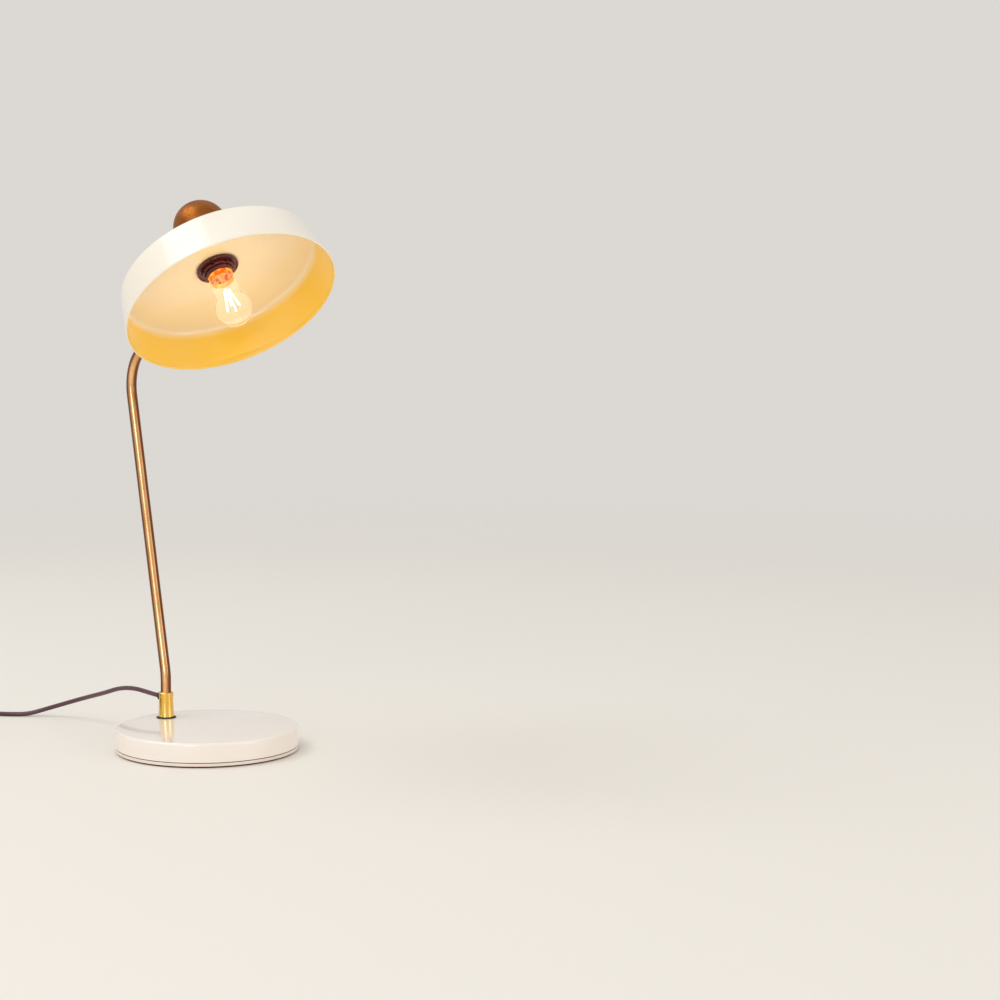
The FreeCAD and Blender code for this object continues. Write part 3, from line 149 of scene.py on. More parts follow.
# A profile of (radius, height) turned about the group's z axis: x = r cos a, y = r sin a, z = height.
def turnedPiece(name, profile, place, body, materials, around=192, **options):
    profile = np.asarray(profile, float)
    angle = np.linspace(0, 2 * np.pi, around, endpoint=False)
    grid = np.empty((len(profile), around, 3))
    grid[..., 0] = profile[:, :1] * np.cos(angle)
    grid[..., 1] = profile[:, :1] * np.sin(angle)
    grid[..., 2] = profile[:, 1:2]
    touchesAxis = profile[0, 0] < 1e-6 and profile[-1, 0] < 1e-6
    return gridPiece(name, grid, place, body, materials, closeRows=not touchesAxis, **options)


# A tube along a path: each point of the circle is path + radius (cos a * side + sin a * up), where up is
# square to the path and to a fixed sideways direction. Radii may change along the path.
def tubeGrid(path, radii, sideways, around=48):
    path = np.asarray(path, float)
    radii = np.broadcast_to(radii, len(path))
    ahead = np.gradient(path, axis=0)
    ahead /= np.linalg.norm(ahead, axis=1, keepdims=True)
    side = np.broadcast_to(np.asarray(sideways, float), path.shape)
    side = side - ahead * np.sum(side * ahead, axis=1, keepdims=True)
    side /= np.linalg.norm(side, axis=1, keepdims=True)
    up = np.cross(ahead, side)
    angle = np.linspace(0, 2 * np.pi, around, endpoint=False)
    ring = np.cos(angle)[None, :, None] * side[:, None] + np.sin(angle)[None, :, None] * up[:, None]
    return path[:, None] + radii[:, None, None] * ring


# Materials.
def linear(red, green, blue):
    colour = np.array([red, green, blue]) / 255
    curve = np.where(colour > 0.04045, ((colour + 0.055) / 1.055) ** 2.4, colour / 12.92)
    return (*curve.tolist(), 1.0)


def addNode(tree, kind, inputs=None, **settings):
    made = tree.nodes.new("ShaderNode" + kind)
    for name, value in settings.items():
        setattr(made, name, value)
    for socket, value in (inputs or {}).items():
        if isinstance(value, bpy.types.NodeSocket):
            tree.links.new(value, made.inputs[socket])
        else:
            made.inputs[socket].default_value = value
    return made


def mixColours(tree, share, first, second):
    made = addNode(tree, "Mix", {0: share, 6: first, 7: second}, data_type="RGBA")
    return made.outputs[2]


def ranged(tree, value, low, high, newLow=0.0, newHigh=1.0, smooth=False):
    kind = "SMOOTHSTEP" if smooth else "LINEAR"
    inputs = {0: value, 1: low, 2: high, 3: newLow, 4: newHigh}
    return addNode(tree, "MapRange", inputs, interpolation_type=kind).outputs[0]


def noise(tree, where, scale, detail=3.0, roughness=0.5):
    inputs = {"Vector": where, "Scale": scale, "Detail": detail, "Roughness": roughness}
    return addNode(tree, "TexNoise", inputs).outputs[0]


def newMaterial(name, colour, **settings):
    material = bpy.data.materials.new(name)
    material.use_nodes = True
    tree = material.node_tree
    shader = tree.nodes["Principled BSDF"]
    shader.inputs["Base Color"].default_value = colour
    for socket, value in settings.items():
        shader.inputs[socket.replace("_", " ")].default_value = value
    where = addNode(tree, "TexCoord").outputs["Object"]
    return material, tree, shader, where


def addBump(tree, shader, height, strength, distance):
    bump = addNode(tree, "Bump", {"Height": height, "Strength": strength, "Distance": distance})
    tree.links.new(bump.outputs[0], shader.inputs["Normal"])


# Lacquer: a smooth coat with a faint waviness, a slow drift of tone, and rare dust specks.
def lacquer(name, colour, tint, roughness, coat=0.06):
    material, tree, shader, where = newMaterial(
        name, colour, Roughness=roughness, Coat_Weight=0.6, Coat_Roughness=coat, IOR=1.5)
    drift = ranged(tree, noise(tree, where, 9.0, 2.0), 0.35, 0.65)
    fine = noise(tree, where, 420.0, 4.0)
    tone = mixColours(tree, drift, colour, tint)
    tone = mixColours(tree, ranged(tree, fine, 0.72, 0.8, 0.0, 0.05), tone, linear(150, 138, 120))
    tree.links.new(tone, shader.inputs["Base Color"])
    tree.links.new(ranged(tree, noise(tree, where, 30.0), 0.3, 0.7, roughness * 0.8, roughness * 1.25),
                   shader.inputs["Roughness"])
    addBump(tree, shader, noise(tree, where, 60.0, 1.0), 0.02, 0.0004)
    return material


# Brass: streaks from polishing run along the piece, with warmer and paler patches and a few dull spots.
# On a tube they follow the tube's own length and turn, over three broad dark bands of painted reflection
# along its length, which stand in for dark surroundings mirrored in the polished tube. The band wave is cos(6
# pi turn + wander), where turn is 0 to 1 once round the tube, and the painted reflection bands lie at its
# lows.
def brass(name, colour, warm, darkStreakAndReflection, roughness, streaks=(300.0, 300.0, 8.0), byUv=False):
    material, tree, shader, where = newMaterial(name, colour, Metallic=1.0, Roughness=roughness)
    source = addNode(tree, "UVMap").outputs[0] if byUv else where
    stretched = addNode(tree, "Mapping", {"Vector": source, "Scale": streaks}).outputs[0]
    streak = noise(tree, stretched, 1.0, 1.0 if byUv else 5.0, 0.6)
    patch = noise(tree, where, 38.0, 3.0)
    tone = mixColours(tree, ranged(tree, patch, 0.35, 0.68), colour, warm)
    tone = mixColours(tree, ranged(tree, streak, 0.52, 0.75, 0.0, 0.45), tone, darkStreakAndReflection)
    # Painted reflection: dark bands round the tube, fixed in its colour whatever the light.
    if byUv:
        turn = addNode(tree, "SeparateXYZ", {0: source}).outputs[1]
        wander = ranged(tree, noise(tree, where, 14.0, 1.0), 0.0, 1.0, -0.2, 0.8)
        turns = {0: turn, 1: 6 * math.pi, 2: wander}
        phase = addNode(tree, "Math", turns, operation="MULTIPLY_ADD").outputs[0]
        reflectionBandWave = addNode(tree, "Math", {0: phase}, operation="COSINE").outputs[0]
        tone = mixColours(tree, ranged(tree, reflectionBandWave, 0.75, -0.5, 0.0, 0.95), tone, darkStreakAndReflection)
    tree.links.new(tone, shader.inputs["Base Color"])
    tree.links.new(ranged(tree, streak, 0.3, 0.7, roughness * 0.75, roughness * 1.5),
                   shader.inputs["Roughness"])
    if not byUv:
        addBump(tree, shader, streak, 0.06, 0.0001)
    return material


# Plain moulded or turned stuff: a fine grain in the bump and a slight change of tone and gloss.
def plain(name, colour, tint, roughness, grain=900.0, bump=0.08, metallic=0.0, coat=0.0):
    material, tree, shader, where = newMaterial(
        name, colour, Roughness=roughness, Metallic=metallic, Coat_Weight=coat, Coat_Roughness=0.1)
    drift = ranged(tree, noise(tree, where, 60.0), 0.35, 0.65)
    tree.links.new(mixColours(tree, drift, colour, tint), shader.inputs["Base Color"])
    tree.links.new(ranged(tree, noise(tree, where, 160.0), 0.3, 0.7, roughness * 0.8, roughness * 1.2),
                   shader.inputs["Roughness"])
    addBump(tree, shader, noise(tree, where, grain, 3.0), bump, 0.0002)
    return material


creamLacquer = lacquer("cream_lacquer", linear(246, 238, 230), linear(243, 232, 221), 0.2)
panLacquer = lacquer("pan_lacquer", linear(240, 226, 214), linear(234, 216, 202), 0.3)
# The stem's brass: polishing streaks plus painted reflection bands round the tube.
stemBrass = brass("stem_brass", linear(250, 204, 152), linear(236, 176, 118), linear(118, 64, 34), 0.18,
                  streaks=(0.12, 30.0, 1.0), byUv=True)
ferruleBrass = brass("ferrule_brass", linear(250, 212, 122), linear(240, 192, 92),
                     linear(198, 146, 64), 0.17, streaks=(160.0, 160.0, 30.0))
capBrass = brass("cap_brass", linear(176, 108, 48), linear(140, 78, 30), linear(88, 44, 18), 0.4,
                 streaks=(500.0, 500.0, 500.0))
contactBrass = brass("contact_brass", linear(214, 172, 96), linear(200, 150, 80), linear(150, 104, 50), 0.3)
zincSteel = plain("zinc_steel", linear(176, 176, 174), linear(150, 150, 150), 0.35, metallic=1.0)
castIron = plain("cast_iron", linear(70, 70, 72), linear(52, 52, 54), 0.75, grain=500.0, bump=0.5,
                 metallic=0.6)
darkResin = plain("dark_resin", linear(98, 20, 24), linear(66, 11, 14), 0.24, coat=0.25)
blackRubber = plain("black_rubber", linear(34, 30, 30), linear(24, 22, 22), 0.6)
switchPlastic = plain("switch_plastic", linear(58, 34, 36), linear(50, 28, 30), 0.42, grain=1500.0, bump=0.2)
rockerPlastic = plain("rocker_plastic", linear(44, 26, 27), linear(38, 22, 23), 0.3)
porcelain = plain("porcelain", linear(236, 232, 224), linear(226, 222, 212), 0.4)
cordPlastic = plain("cord_plastic", linear(92, 58, 66), linear(80, 48, 56), 0.36, grain=1200.0, bump=0.06)
feltFibre = plain("felt_fibre", linear(40, 30, 30), linear(28, 20, 22), 0.95, grain=2600.0, bump=0.9)
print("materials made")


# Base.
baseSizes = {
    "radius": 90.0,
    "top": 24.0,
    "skirtBottom": 5.2,
    "edge": 3.0,
    "wall": 1.4,
    "lipBottom": 1.5,
    "lipTop": 4.5,
    "feltRadius": 87.5,
    "panOutside": 88.4,
    "panInside": 86.9,
    "panTop": 8.5,
    "panFloor": 3.5,
}


# Cover, pan and felt: closed profiles of (radius, height) turned about the lamp's upright axis.
def buildBase(s):
    inside = s["radius"] - s["wall"]
    ceiling = s["top"] - s["wall"]
    cover = outline([
        (0, ceiling), (inside, ceiling, 1.6), (inside, s["skirtBottom"], 0.4),
        (s["radius"], s["skirtBottom"], 0.5),
        (s["radius"], s["top"], s["edge"]), (0, s["top"])], steps=10, closed=False)
    turnedPiece("baseCover", cover, basePlace, "base", [creamLacquer], around=256,
                replaced=["base_cover"], slot="base_lacquer")
    pan = outline([
        (0, s["lipBottom"]), (s["radius"], s["lipBottom"], 0.6), (s["radius"], s["lipTop"], 0.6),
        (s["panOutside"], s["lipTop"], 0.2), (s["panOutside"], s["panTop"], 0.4),
        (s["panInside"], s["panTop"], 0.4), (s["panInside"], s["panFloor"]), (0, s["panFloor"])],
        closed=False)
    # Painted shade: the spigot's band above the lip takes the dark rubber material, so the seam reads dark.
    paintedSeamShade = (pan[:, 0] < s["radius"] - 0.9) & (pan[:, 1] > s["lipTop"] - 0.3)
    turnedPiece("basePan", pan, basePlace, "base", [panLacquer, blackRubber], around=256,
                bands=paintedSeamShade.astype(np.int32), replaced=["base_pan"], slot="base_lacquer")
    felt = outline([(0, 0), (s["feltRadius"], 0, 0.5), (s["feltRadius"], s["lipBottom"], 0.3),
                    (0, s["lipBottom"])], closed=False)
    turnedPiece("feltPad", felt, basePlace, "base", [feltFibre], around=192,
                replaced=["felt_pad"], slot="felt")


buildBase(baseSizes)

ferruleSizes = {
    "foot": 7.7,
    "waist": 7.0,
    "top": 7.3,
    "bottom": 24.7,
    "height": 25.2,
    "collar": 5.0,
    "socket": 5.3,
    "socketDepth": 15.6,
    "tail": 5.0,
    "tailBottom": 4.1,
}
washerSizes = {"inside": 5.1, "outside": 10.0, "bottom": 24.05, "top": 24.65}


# The ferrule and its washer: profiles turned about the stem's foot.
def buildFerrule(s, w):
    top = s["bottom"] + s["height"]
    collar = top - s["collar"]
    socket = top - s["socketDepth"]
    body = outline([
        (0, s["tailBottom"]), (s["tail"], s["tailBottom"], 0.5), (s["tail"], s["bottom"]),
        (s["foot"], s["bottom"], 0.3),
        (s["foot"], s["bottom"] + 1.5, 0.8), (s["waist"], collar, 0.3), (s["top"], collar + 0.6, 0.3),
        (s["top"], top - 0.8, 0.5), (s["top"] - 0.8, top, 0.3), (s["socket"], top, 0.2),
        (s["socket"], socket), (0, socket)], closed=False)
    turnedPiece("ferrule", body, ferrulePlace, "base", [ferruleBrass], around=128, replaced=["ferrule"],
                slot="stem_brass")
    washer = outline([(w["inside"], w["bottom"], 0.1), (w["outside"], w["bottom"], 0.25),
                      (w["outside"], w["top"], 0.25), (w["inside"], w["top"], 0.1)])
    turnedPiece("footWasher", washer, ferrulePlace, "base", [blackRubber], around=96,
                replaced=["foot_washer"], slot="black_plastic")


buildFerrule(ferruleSizes, washerSizes)
print("base and ferrule built")

# Stem.
stemSizes = {
    "radius": 5.25,
    "bore": 4.25,
    "bottom": 34.6,
    "around": 72,
    "footBend": (0.0, 68.0, 60.0),
    "elbow": (70.4, 368.2, 41.4),
    "pivot": (-85.2, 514.8),
    "stopShort": 13.0,
}


# The tube's line in its own plane: straight, foot bend, straight, elbow, straight towards the pivot.
# Stretches are resampled evenly so that the rings stand square to the line.
def stemLine(s):
    finish = np.array(s["pivot"])
    corner = np.array(s["elbow"][:2])
    way = (corner - finish) / np.linalg.norm(corner - finish)
    end = finish + way * s["stopShort"]
    line = outline([(0, s["bottom"]), s["footBend"], s["elbow"], tuple(end)], steps=40, closed=False)
    reach = np.concatenate([[0], np.cumsum(np.linalg.norm(np.diff(line, axis=0), axis=1))])
    even = np.unique(np.concatenate([reach, np.linspace(0, reach[-1], 80)]))
    flat = np.stack([np.interp(even, reach, line[:, 0]), np.interp(even, reach, line[:, 1])], 1)
    return np.stack([np.zeros(len(flat)), flat[:, 0], flat[:, 1]], 1), even


# Two tubes along one line, the outer one forwards and the inner one back, joined at both ends.
def buildStem(s):
    line, reach = stemLine(s)
    outer = tubeGrid(line, s["radius"], (1, 0, 0), s["around"])
    inner = tubeGrid(line[::-1], s["bore"], (1, 0, 0), s["around"])
    inner = inner[:, np.r_[0, s["around"] - 1:0:-1]]
    grid = np.concatenate([outer, inner])
    along = np.concatenate([reach, reach[::-1], reach[:1]]) / 10
    around = np.linspace(0, 1, s["around"] + 1)
    gridPiece("stemTube", grid, stemPlace, "stem", [stemBrass], replaced=["stem_tube"], slot="stem_brass",
              uv=(along, around))


buildStem(stemSizes)
print("stem built")

# Shade: the mouth is at height 0 of the head's own directions.
shadeSizes = {
    "mouth": 104.1,
    "shoulder": 96.5,
    "skirt": 41.0,
    "depth": 45.2,
    "wall": 1.0,
    "bend": 6.0,
    "hub": 30.0,
    "crownRadius": 760.0,
    "hole": 13.9,
    "bead": 1.1,
    "crownStop": 1.3,
    "skirtStart": 1.2,
}


# Crown line between two points: a shallow arc of the crown's radius, arching away from the mouth.
def crownLine(start, end, radius, steps=24):
    start = np.array(start, float)
    end = np.array(end, float)
    chord = end - start
    length = np.linalg.norm(chord)
    across = np.array([-chord[1], chord[0]]) / length
    across = across if across[1] > 0 else -across
    share = np.linspace(0, 1, steps + 1)
    rise = np.sqrt(radius**2 - (length * (share - 0.5)) ** 2) - math.sqrt(radius**2 - length**2 / 4)
    return start + share[:, None] * chord + rise[:, None] * across


# One closed profile: crown and skirt outside, round the rolled rim, and back inside by the wall.
def buildShade(s, outside, inside):
    wall = s["wall"]
    outer = [tuple(point) for point in crownLine((s["hub"], s["depth"]), (s["shoulder"], s["skirt"]),
                                                 s["crownRadius"])]
    inner = [tuple(point) for point in crownLine((s["hub"], s["depth"] - wall),
                                                 (s["shoulder"] - wall, s["skirt"] - wall), s["crownRadius"])]
    outer = [point for point in outer if point[0] < s["shoulder"] - s["bend"] * s["crownStop"]] + [outer[-1]]
    inner = [point for point in inner if point[0] < s["shoulder"] - s["bend"] * s["crownStop"]] + [inner[-1]]
    outer[-1] = (*outer[-1], s["bend"])
    inner[-1] = (*inner[-1], s["bend"] - wall)
    bead = s["bead"]
    skirt = np.linspace(s["bend"] * s["skirtStart"] / s["skirt"], 1, 12)[:-1]
    top = np.array([s["shoulder"], s["skirt"]])
    low = np.array([s["mouth"], bead])
    outerSkirt = [tuple(top + (low - top) * share) for share in skirt]
    innerSkirt = [(x - wall, y - wall * 0.2) for x, y in outerSkirt[::-1]]
    rim = arc(s["mouth"] - bead, bead, bead, 10, -185, 14)
    corners = ([(s["hole"], s["depth"])] + outer + outerSkirt + rim + innerSkirt + inner[::-1]
               + [(s["hole"], s["depth"] - wall)])
    profile = outline(corners, steps=12)
    lowest = int(np.argmin(profile[:, 1]))
    bands = (np.arange(len(profile)) >= lowest).astype(np.int32)
    turnedPiece("shade", profile, headPlace, "head", [outside, inside], around=256, bands=bands,
                replaced=["shade_shell"], slot="shade_lacquer")


# Heights above the mouth, in millimetres, from Object coordinates: the head's axis is turned upright.
def headHeight(tree, where):
    upAxis = headTurn[:, 2] * 1000
    offset = -float(headTurn[:, 2] @ headShift)
    dot = addNode(tree, "VectorMath", {0: where, 1: tuple(upAxis)}, operation="DOT_PRODUCT").outputs["Value"]
    return addNode(tree, "Math", {0: dot, 1: offset}, operation="ADD").outputs[0]


# Inside of the shade: the bulb's warm light painted into the lacquer, golden on the skirt and paler on the
# crown with a soft change between, and a faint painted glow from its emission.
def shadeInsideMaterial():
    skirtPaintedLight, crownPaintedLight = linear(232, 188, 50), linear(236, 214, 172)
    material, tree, shader, where = newMaterial(
        "shade_inside", crownPaintedLight, Roughness=0.3, Coat_Weight=1.0, Coat_Roughness=0.11,
        Emission_Strength=0.10)
    height = headHeight(tree, where)
    share = ranged(tree, height, 30.0, 39.5, smooth=True)
    drift = ranged(tree, noise(tree, where, 14.0, 2.0), 0.3, 0.7, 0.0, 0.25)
    tone = mixColours(tree, share, skirtPaintedLight, crownPaintedLight)
    tone = mixColours(tree, drift, tone, linear(232, 198, 140))
    tree.links.new(tone, shader.inputs["Base Color"])
    # Painted glow: the inside's colour is also emitted, though the shade is no lamp.
    tree.links.new(tone, shader.inputs["Emission Color"])
    addBump(tree, shader, noise(tree, where, 60.0, 1.0), 0.02, 0.0004)
    return material


shadeOutside = lacquer("shade_outside", linear(246, 240, 228), linear(242, 232, 216), 0.26, coat=0.13)
shadeInside = shadeInsideMaterial()
buildShade(shadeSizes, shadeOutside, shadeInside)
print("shade built")

# Cap over the joint, with its slot.
capSizes = {
    "radius": 26.5,
    "wall": 1.2,
    "mouth": 45.8,
    "pivot": 93.0,
    "slotHalf": 6.05,
    "slotDown": -38.0,
    "slotUp": 56.0,
    "gap": 0.1,
    "cutReach": 60.0,
    "cutLow": 15.0,
    "cutHigh": 8.0,
}


# A dome: quarter arcs about the pivot with straight sides below, and a slot cut out by a wedge.
def buildCap(s):
    inside = s["radius"] - s["wall"]
    bottom = s["mouth"] + s["gap"]
    profile = (arc(0, s["pivot"], inside, 90, 0, 40) + [(inside, bottom), (s["radius"], bottom)]
               + arc(0, s["pivot"], s["radius"], 0, 90, 48))
    profile = [(max(x, 0.0), y) for x, y in profile]
    profile[0] = (0.0, profile[0][1])
    profile[-1] = (0.0, profile[-1][1])
    cap = turnedPiece("domeCap", profile, headPlace, "head", [capBrass], around=192,
                      replaced=["dome_cap"], slot="cap_brass")
    reach = s["cutReach"]
    low = math.radians(s["slotDown"])
    high = math.radians(s["slotUp"])
    wedge = [(s["cutLow"], s["cutLow"] * math.tan(low)), (reach * math.cos(low), reach * math.sin(low)),
             (reach * 1.2, 0), (reach * math.cos(high), reach * math.sin(high)),
             (s["cutHigh"], s["cutHigh"] * math.tan(high))]
    cutter = bmesh.new()
    rings = [[cutter.verts.new(put([(side * s["slotHalf"], y, s["pivot"] + z)], headPlace)[0])
              for y, z in wedge] for side in (-1, 1)]
    cutter.faces.new(rings[0])
    cutter.faces.new(rings[1][::-1])
    for first in range(len(wedge)):
        after = (first + 1) % len(wedge)
        cutter.faces.new([rings[0][first], rings[1][first], rings[1][after], rings[0][after]])
    bmesh.ops.recalc_face_normals(cutter, faces=cutter.faces)
    cutMesh = bpy.data.meshes.new("slotCutter")
    cutter.to_mesh(cutMesh)
    cutter.free()
    cutObject = bpy.data.objects.new("slotCutter", cutMesh)
    bpy.context.scene.collection.objects.link(cutObject)
    cut = cap.modifiers.new("slot", "BOOLEAN")
    cut.object = cutObject
    cut.operation = "DIFFERENCE"
    cut.solver = "EXACT"
    bpy.context.view_layer.update()
    shaped = bpy.data.meshes.new_from_object(cap.evaluated_get(bpy.context.evaluated_depsgraph_get()))
    cap.modifiers.clear()
    cap.data = shaped
    bpy.data.objects.remove(cutObject)
    shaped.set_sharp_from_angle(angle=math.radians(35))


buildCap(capSizes)
print("cap built")

# Lampholder.
holderSizes = {
    "barrel": 13.7,
    "bore": 12.7,
    "mouth": 33.2,
    "split": 52.0,
    "ringRadius": 20.5,
    "ringTop": 44.2,
    "ringBottom": 41.2,
    "hub": 16.5,
    "hubDrop": 3.4,
    "notches": 8,
    "notchDepth": 1.1,
    "notchStart": 0.72,
    "neckBore": 11.5,
    "shoulder": 42.0,
}


# The barrel is a turned profile. The ring is one too, with its radius drawn in at the notches.
def buildHolder(s):
    barrel = outline([
        (s["bore"], s["mouth"], 0.3), (s["barrel"] - 0.6, s["mouth"], 0.5),
        (s["barrel"] - 0.6, s["mouth"] + 2, 0.2), (s["barrel"], s["mouth"] + 2.4, 0.3), (s["barrel"],
                                                                                         s["split"]),
        (s["neckBore"], s["split"]), (s["neckBore"], s["shoulder"]), (s["bore"], s["shoulder"])], steps=5)
    turnedPiece("holderBarrel", barrel, headPlace, "head", [darkResin], around=128,
                replaced=["holder_barrel"], slot="holder_resin")
    # The ring's radius is drawn in by a smooth bump at each notch, only on the hub below the flange.
    hubBottom = s["ringBottom"] - s["hubDrop"]
    profile = outline([
        (s["barrel"] + 0.1, hubBottom, 0.3), (s["hub"], hubBottom, 0.8), (s["hub"],
                                                                          s["ringBottom"] + 0.9, 0.3),
        (s["ringRadius"] - 1.7, s["ringBottom"] + 0.9, 0.4), (s["ringRadius"] - 1.3, s["ringBottom"], 0.35),
        (s["ringRadius"], s["ringBottom"], 0.6), (s["ringRadius"], s["ringTop"], 0.2),
        (s["barrel"] + 0.1, s["ringTop"])], steps=7)
    around = 256
    angle = np.linspace(0, 2 * np.pi, around, endpoint=False)
    start = s["notchStart"]
    notch = np.clip((np.cos(angle * s["notches"]) - start) / (1 - start), 0, 1) ** 0.5
    onHub = (profile[:, 0] > s["barrel"] + 0.8) & (profile[:, 0] < s["hub"] + 0.2)
    radius = profile[:, :1] - s["notchDepth"] * onHub[:, None] * notch
    grid = np.stack([radius * np.cos(angle), radius * np.sin(angle),
                     np.broadcast_to(profile[:, 1:2], radius.shape)], -1)
    gridPiece("shadeRing", grid, headPlace, "head", [darkResin], replaced=["shade_ring"], slot="holder_resin")


buildHolder(holderSizes)

# Bulb.
bulbSizes = {
    "globe": 17.4,
    "globeCentre": -6.0,
    "neck": 12.2,
    "neckTop": 34.85,
    "capBottom": 37.45,
    "capRadius": 6.6,
    "glassWall": 0.5,
    "blend": 16,
    "filamentTop": 16.0,
    "filamentLength": 22.0,
    "filamentRadius": 0.75,
    "filamentStart": 2.2,
    "filamentLean": 11.0,
    "mountTip": (1.2, 17.0),
    "mountWaist": (1.6, 25.0),
    "mountFoot": 4.0,
}


# Clear glass with a faint pale painted glow, which turns to an amber tint with a painted amber glow and
# painted glints towards the neck, by height above the mouth.
def clearGlass():
    material, tree, shader, where = newMaterial(
        "bulb_glass", (1.0, 1.0, 1.0, 1.0), Roughness=0.0, Transmission_Weight=1.0, IOR=1.1)
    height = headHeight(tree, where)
    paintedAmberGlow = ranged(tree, height, 25.5, 28.5, smooth=True)
    tone = mixColours(tree, paintedAmberGlow, (1.0, 0.99, 0.97, 1.0), linear(255, 186, 104))
    tree.links.new(tone, shader.inputs["Base Color"])
    # Painted glints in the painted amber glow of the neck.
    paintedGlint = ranged(tree, noise(tree, where, 220.0, 2.0), 0.46, 0.62)
    warm = mixColours(tree, paintedGlint, linear(206, 88, 20), linear(255, 196, 104))
    glow = mixColours(tree, paintedAmberGlow, linear(255, 238, 226), warm)
    tree.links.new(glow, shader.inputs["Emission Color"])
    # Painted glow: faint and pale on the globe, stronger and amber at the neck.
    paintedGlowStrength = addNode(tree, "Mix", {0: paintedAmberGlow, 2: 0.045, 3: 0.42}).outputs[0]
    tree.links.new(paintedGlowStrength, shader.inputs["Emission Strength"])
    addBump(tree, shader, noise(tree, where, 60.0, 1.0), 0.03, 0.0005)
    return material


# Glowing sticks: an even emission with a slight change of tone.
def glowingFilament():
    material, tree, shader, where = newMaterial(
        "glowing_filament", linear(255, 226, 160), Roughness=0.5, Emission_Strength=9.0)
    tone = mixColours(tree, noise(tree, where, 500.0), linear(255, 214, 140), linear(255, 244, 214))
    tree.links.new(tone, shader.inputs["Emission Color"])
    return material


def buildBulb(s):
    wall = s["glassWall"]
    # Above the globe's widest place the radius is (neck^p + circle^p)^(1/p), which blends one into the other.
    height = np.linspace(s["globeCentre"], s["neckTop"] - 2, 60)
    sides = []
    for globe, neck in ((s["globe"], s["neck"]), (s["globe"] - wall, s["neck"] - wall)):
        circle = np.sqrt(np.clip(globe**2 - (height - s["globeCentre"]) ** 2, 0, None))
        radius = (neck ** s["blend"] + circle ** s["blend"]) ** (1 / s["blend"])
        bowl = arc(0, s["globeCentre"], globe, -90, 0, 40)[:-1]
        bowl[0] = (0.0, bowl[0][1])
        sides.append(bowl + list(zip(radius, height)))
    corners = (sides[0] + [(s["neck"], s["neckTop"], 1.5), (s["capRadius"], s["capBottom"]),
                           (s["capRadius"] - wall, s["capBottom"]), (s["neck"] - wall,
                                                                     s["neckTop"] - wall, 1.2)]
               + sides[1][::-1])
    glass = turnedPiece("bulbGlass", outline(corners, closed=False), headPlace, "head", [clearGlass()],
                        around=160, replaced=["bulb_glass"], slot="bulb_glass", sharp=60)
    glass.visible_shadow = False
    mount = outline([(0, s["mountTip"][1]), (*s["mountTip"], 0.5), (*s["mountWaist"], 3.0),
                     (s["mountFoot"], s["capBottom"]), (0, s["capBottom"])], closed=False)
    stand = turnedPiece("bulbMount", mount, headPlace, "head", [clearGlass()], around=64,
                        replaced=["bulb_mount"], slot="bulb_glass", sharp=60)
    stand.visible_shadow = False
    glow = glowingFilament()
    lean = math.radians(s["filamentLean"])
    for quarter in range(4):
        turn = math.radians(45 + 90 * quarter)
        way = np.array([math.sin(lean) * math.cos(turn), math.sin(lean) * math.sin(turn), -math.cos(lean)])
        start = s["filamentStart"]
        top = np.array([start * math.cos(turn), start * math.sin(turn), s["filamentTop"]])
        share = np.concatenate([[0, 0.0], np.linspace(0.01, 0.99, 12), [1.0, 1.0]])
        radii = s["filamentRadius"] * np.concatenate([[0.0, 0.7], np.ones(12), [0.7, 0.0]])
        share[0] -= 1e-4
        share[-1] += 1e-4
        path = top + share[:, None] * way * s["filamentLength"]
        names = ["filaments"] if quarter == 0 else []
        gridPiece(f"filament{quarter + 1}", tubeGrid(path, radii, (1, 0, 0), 16), headPlace, "head", [glow],
                  replaced=names, slot="filament", closeRows=False)


buildBulb(bulbSizes)
print("lampholder and bulb built")

# Free cord: one smooth line through the switch, the coil and the plug.
cordSizes = {
    "diameter": 0.0046,
    "length": 1.80,
    "coilCentre": (-150.0, 244.0),
    "coilOuter": 30.7,
    "pitch": 5.2,
    "layer": 5.2,
    "layers": 4,
    "turnsPerLayer": 2,
    "pointsPerTurn": 16,
    "letOut": 1.019,
    "rest": 2.3,
}
lampRun = [
    (0, 74.65, 45), (0, 80.65, 45), (0.5, 93.65, 45.8), (1.5, 118, 47), (3, 144, 43.5),
    (5, 170, 35.2), (7, 196, 28),
    (7, 221, 20.7), (2.5, 244, 13.2), (-6, 262, 6.8), (-19, 273, 2.3), (-32, 286, 2.3), (-43, 303, 2.3),
    (-55, 318, 4.7), (-71, 327, 7.5), (-90, 327, 7.5)]
linkRun = [
    (-134, 327, 7.5), (-152, 327, 7.5), (-168, 321, 4.9), (-179.5, 308, 2.3), (-182.3, 289, 2.3),
    (-181.2, 270, 2.3), (-180.7, 261.6, 2.3), (-180.7, 248.6, 2.3)]
tailRun = [
    (-180.7, 239.4, 17.9), (-180.7, 228.4, 17.9), (-181.8, 216, 12.6), (-191.5, 201, 6.85), (-204.6,
                                                                                             187.9, 6.85)]


# Coil: the radius winds in and out by a pitch a turn, and each layer climbs in the half turn about the
# place where the winding reverses. Radii are let out a little, because the smooth line cuts its corners.
def coilPoints(s):
    total = s["layers"] * s["turnsPerLayer"]
    turn = np.arange(1, total * s["pointsPerTurn"]) / s["pointsPerTurn"]
    layer = np.minimum(turn // s["turnsPerLayer"], s["layers"] - 1)
    within = turn - layer * s["turnsPerLayer"]
    inward = np.where(layer % 2 == 0, within, s["turnsPerLayer"] - within)
    radius = (s["coilOuter"] - s["pitch"] * inward) * s["letOut"]
    reversals = np.arange(1, s["layers"]) * s["turnsPerLayer"]
    step = np.clip((turn[:, None] - reversals + 0.25) / 0.5, 0, 1)
    climb = np.sum(step * step * (3 - 2 * step), axis=1)
    angle = np.pi + 2 * np.pi * turn
    x = s["coilCentre"][0] + radius * np.cos(angle)
    y = s["coilCentre"][1] + radius * np.sin(angle)
    return np.stack([x, y, s["rest"] + s["layer"] * climb], 1)


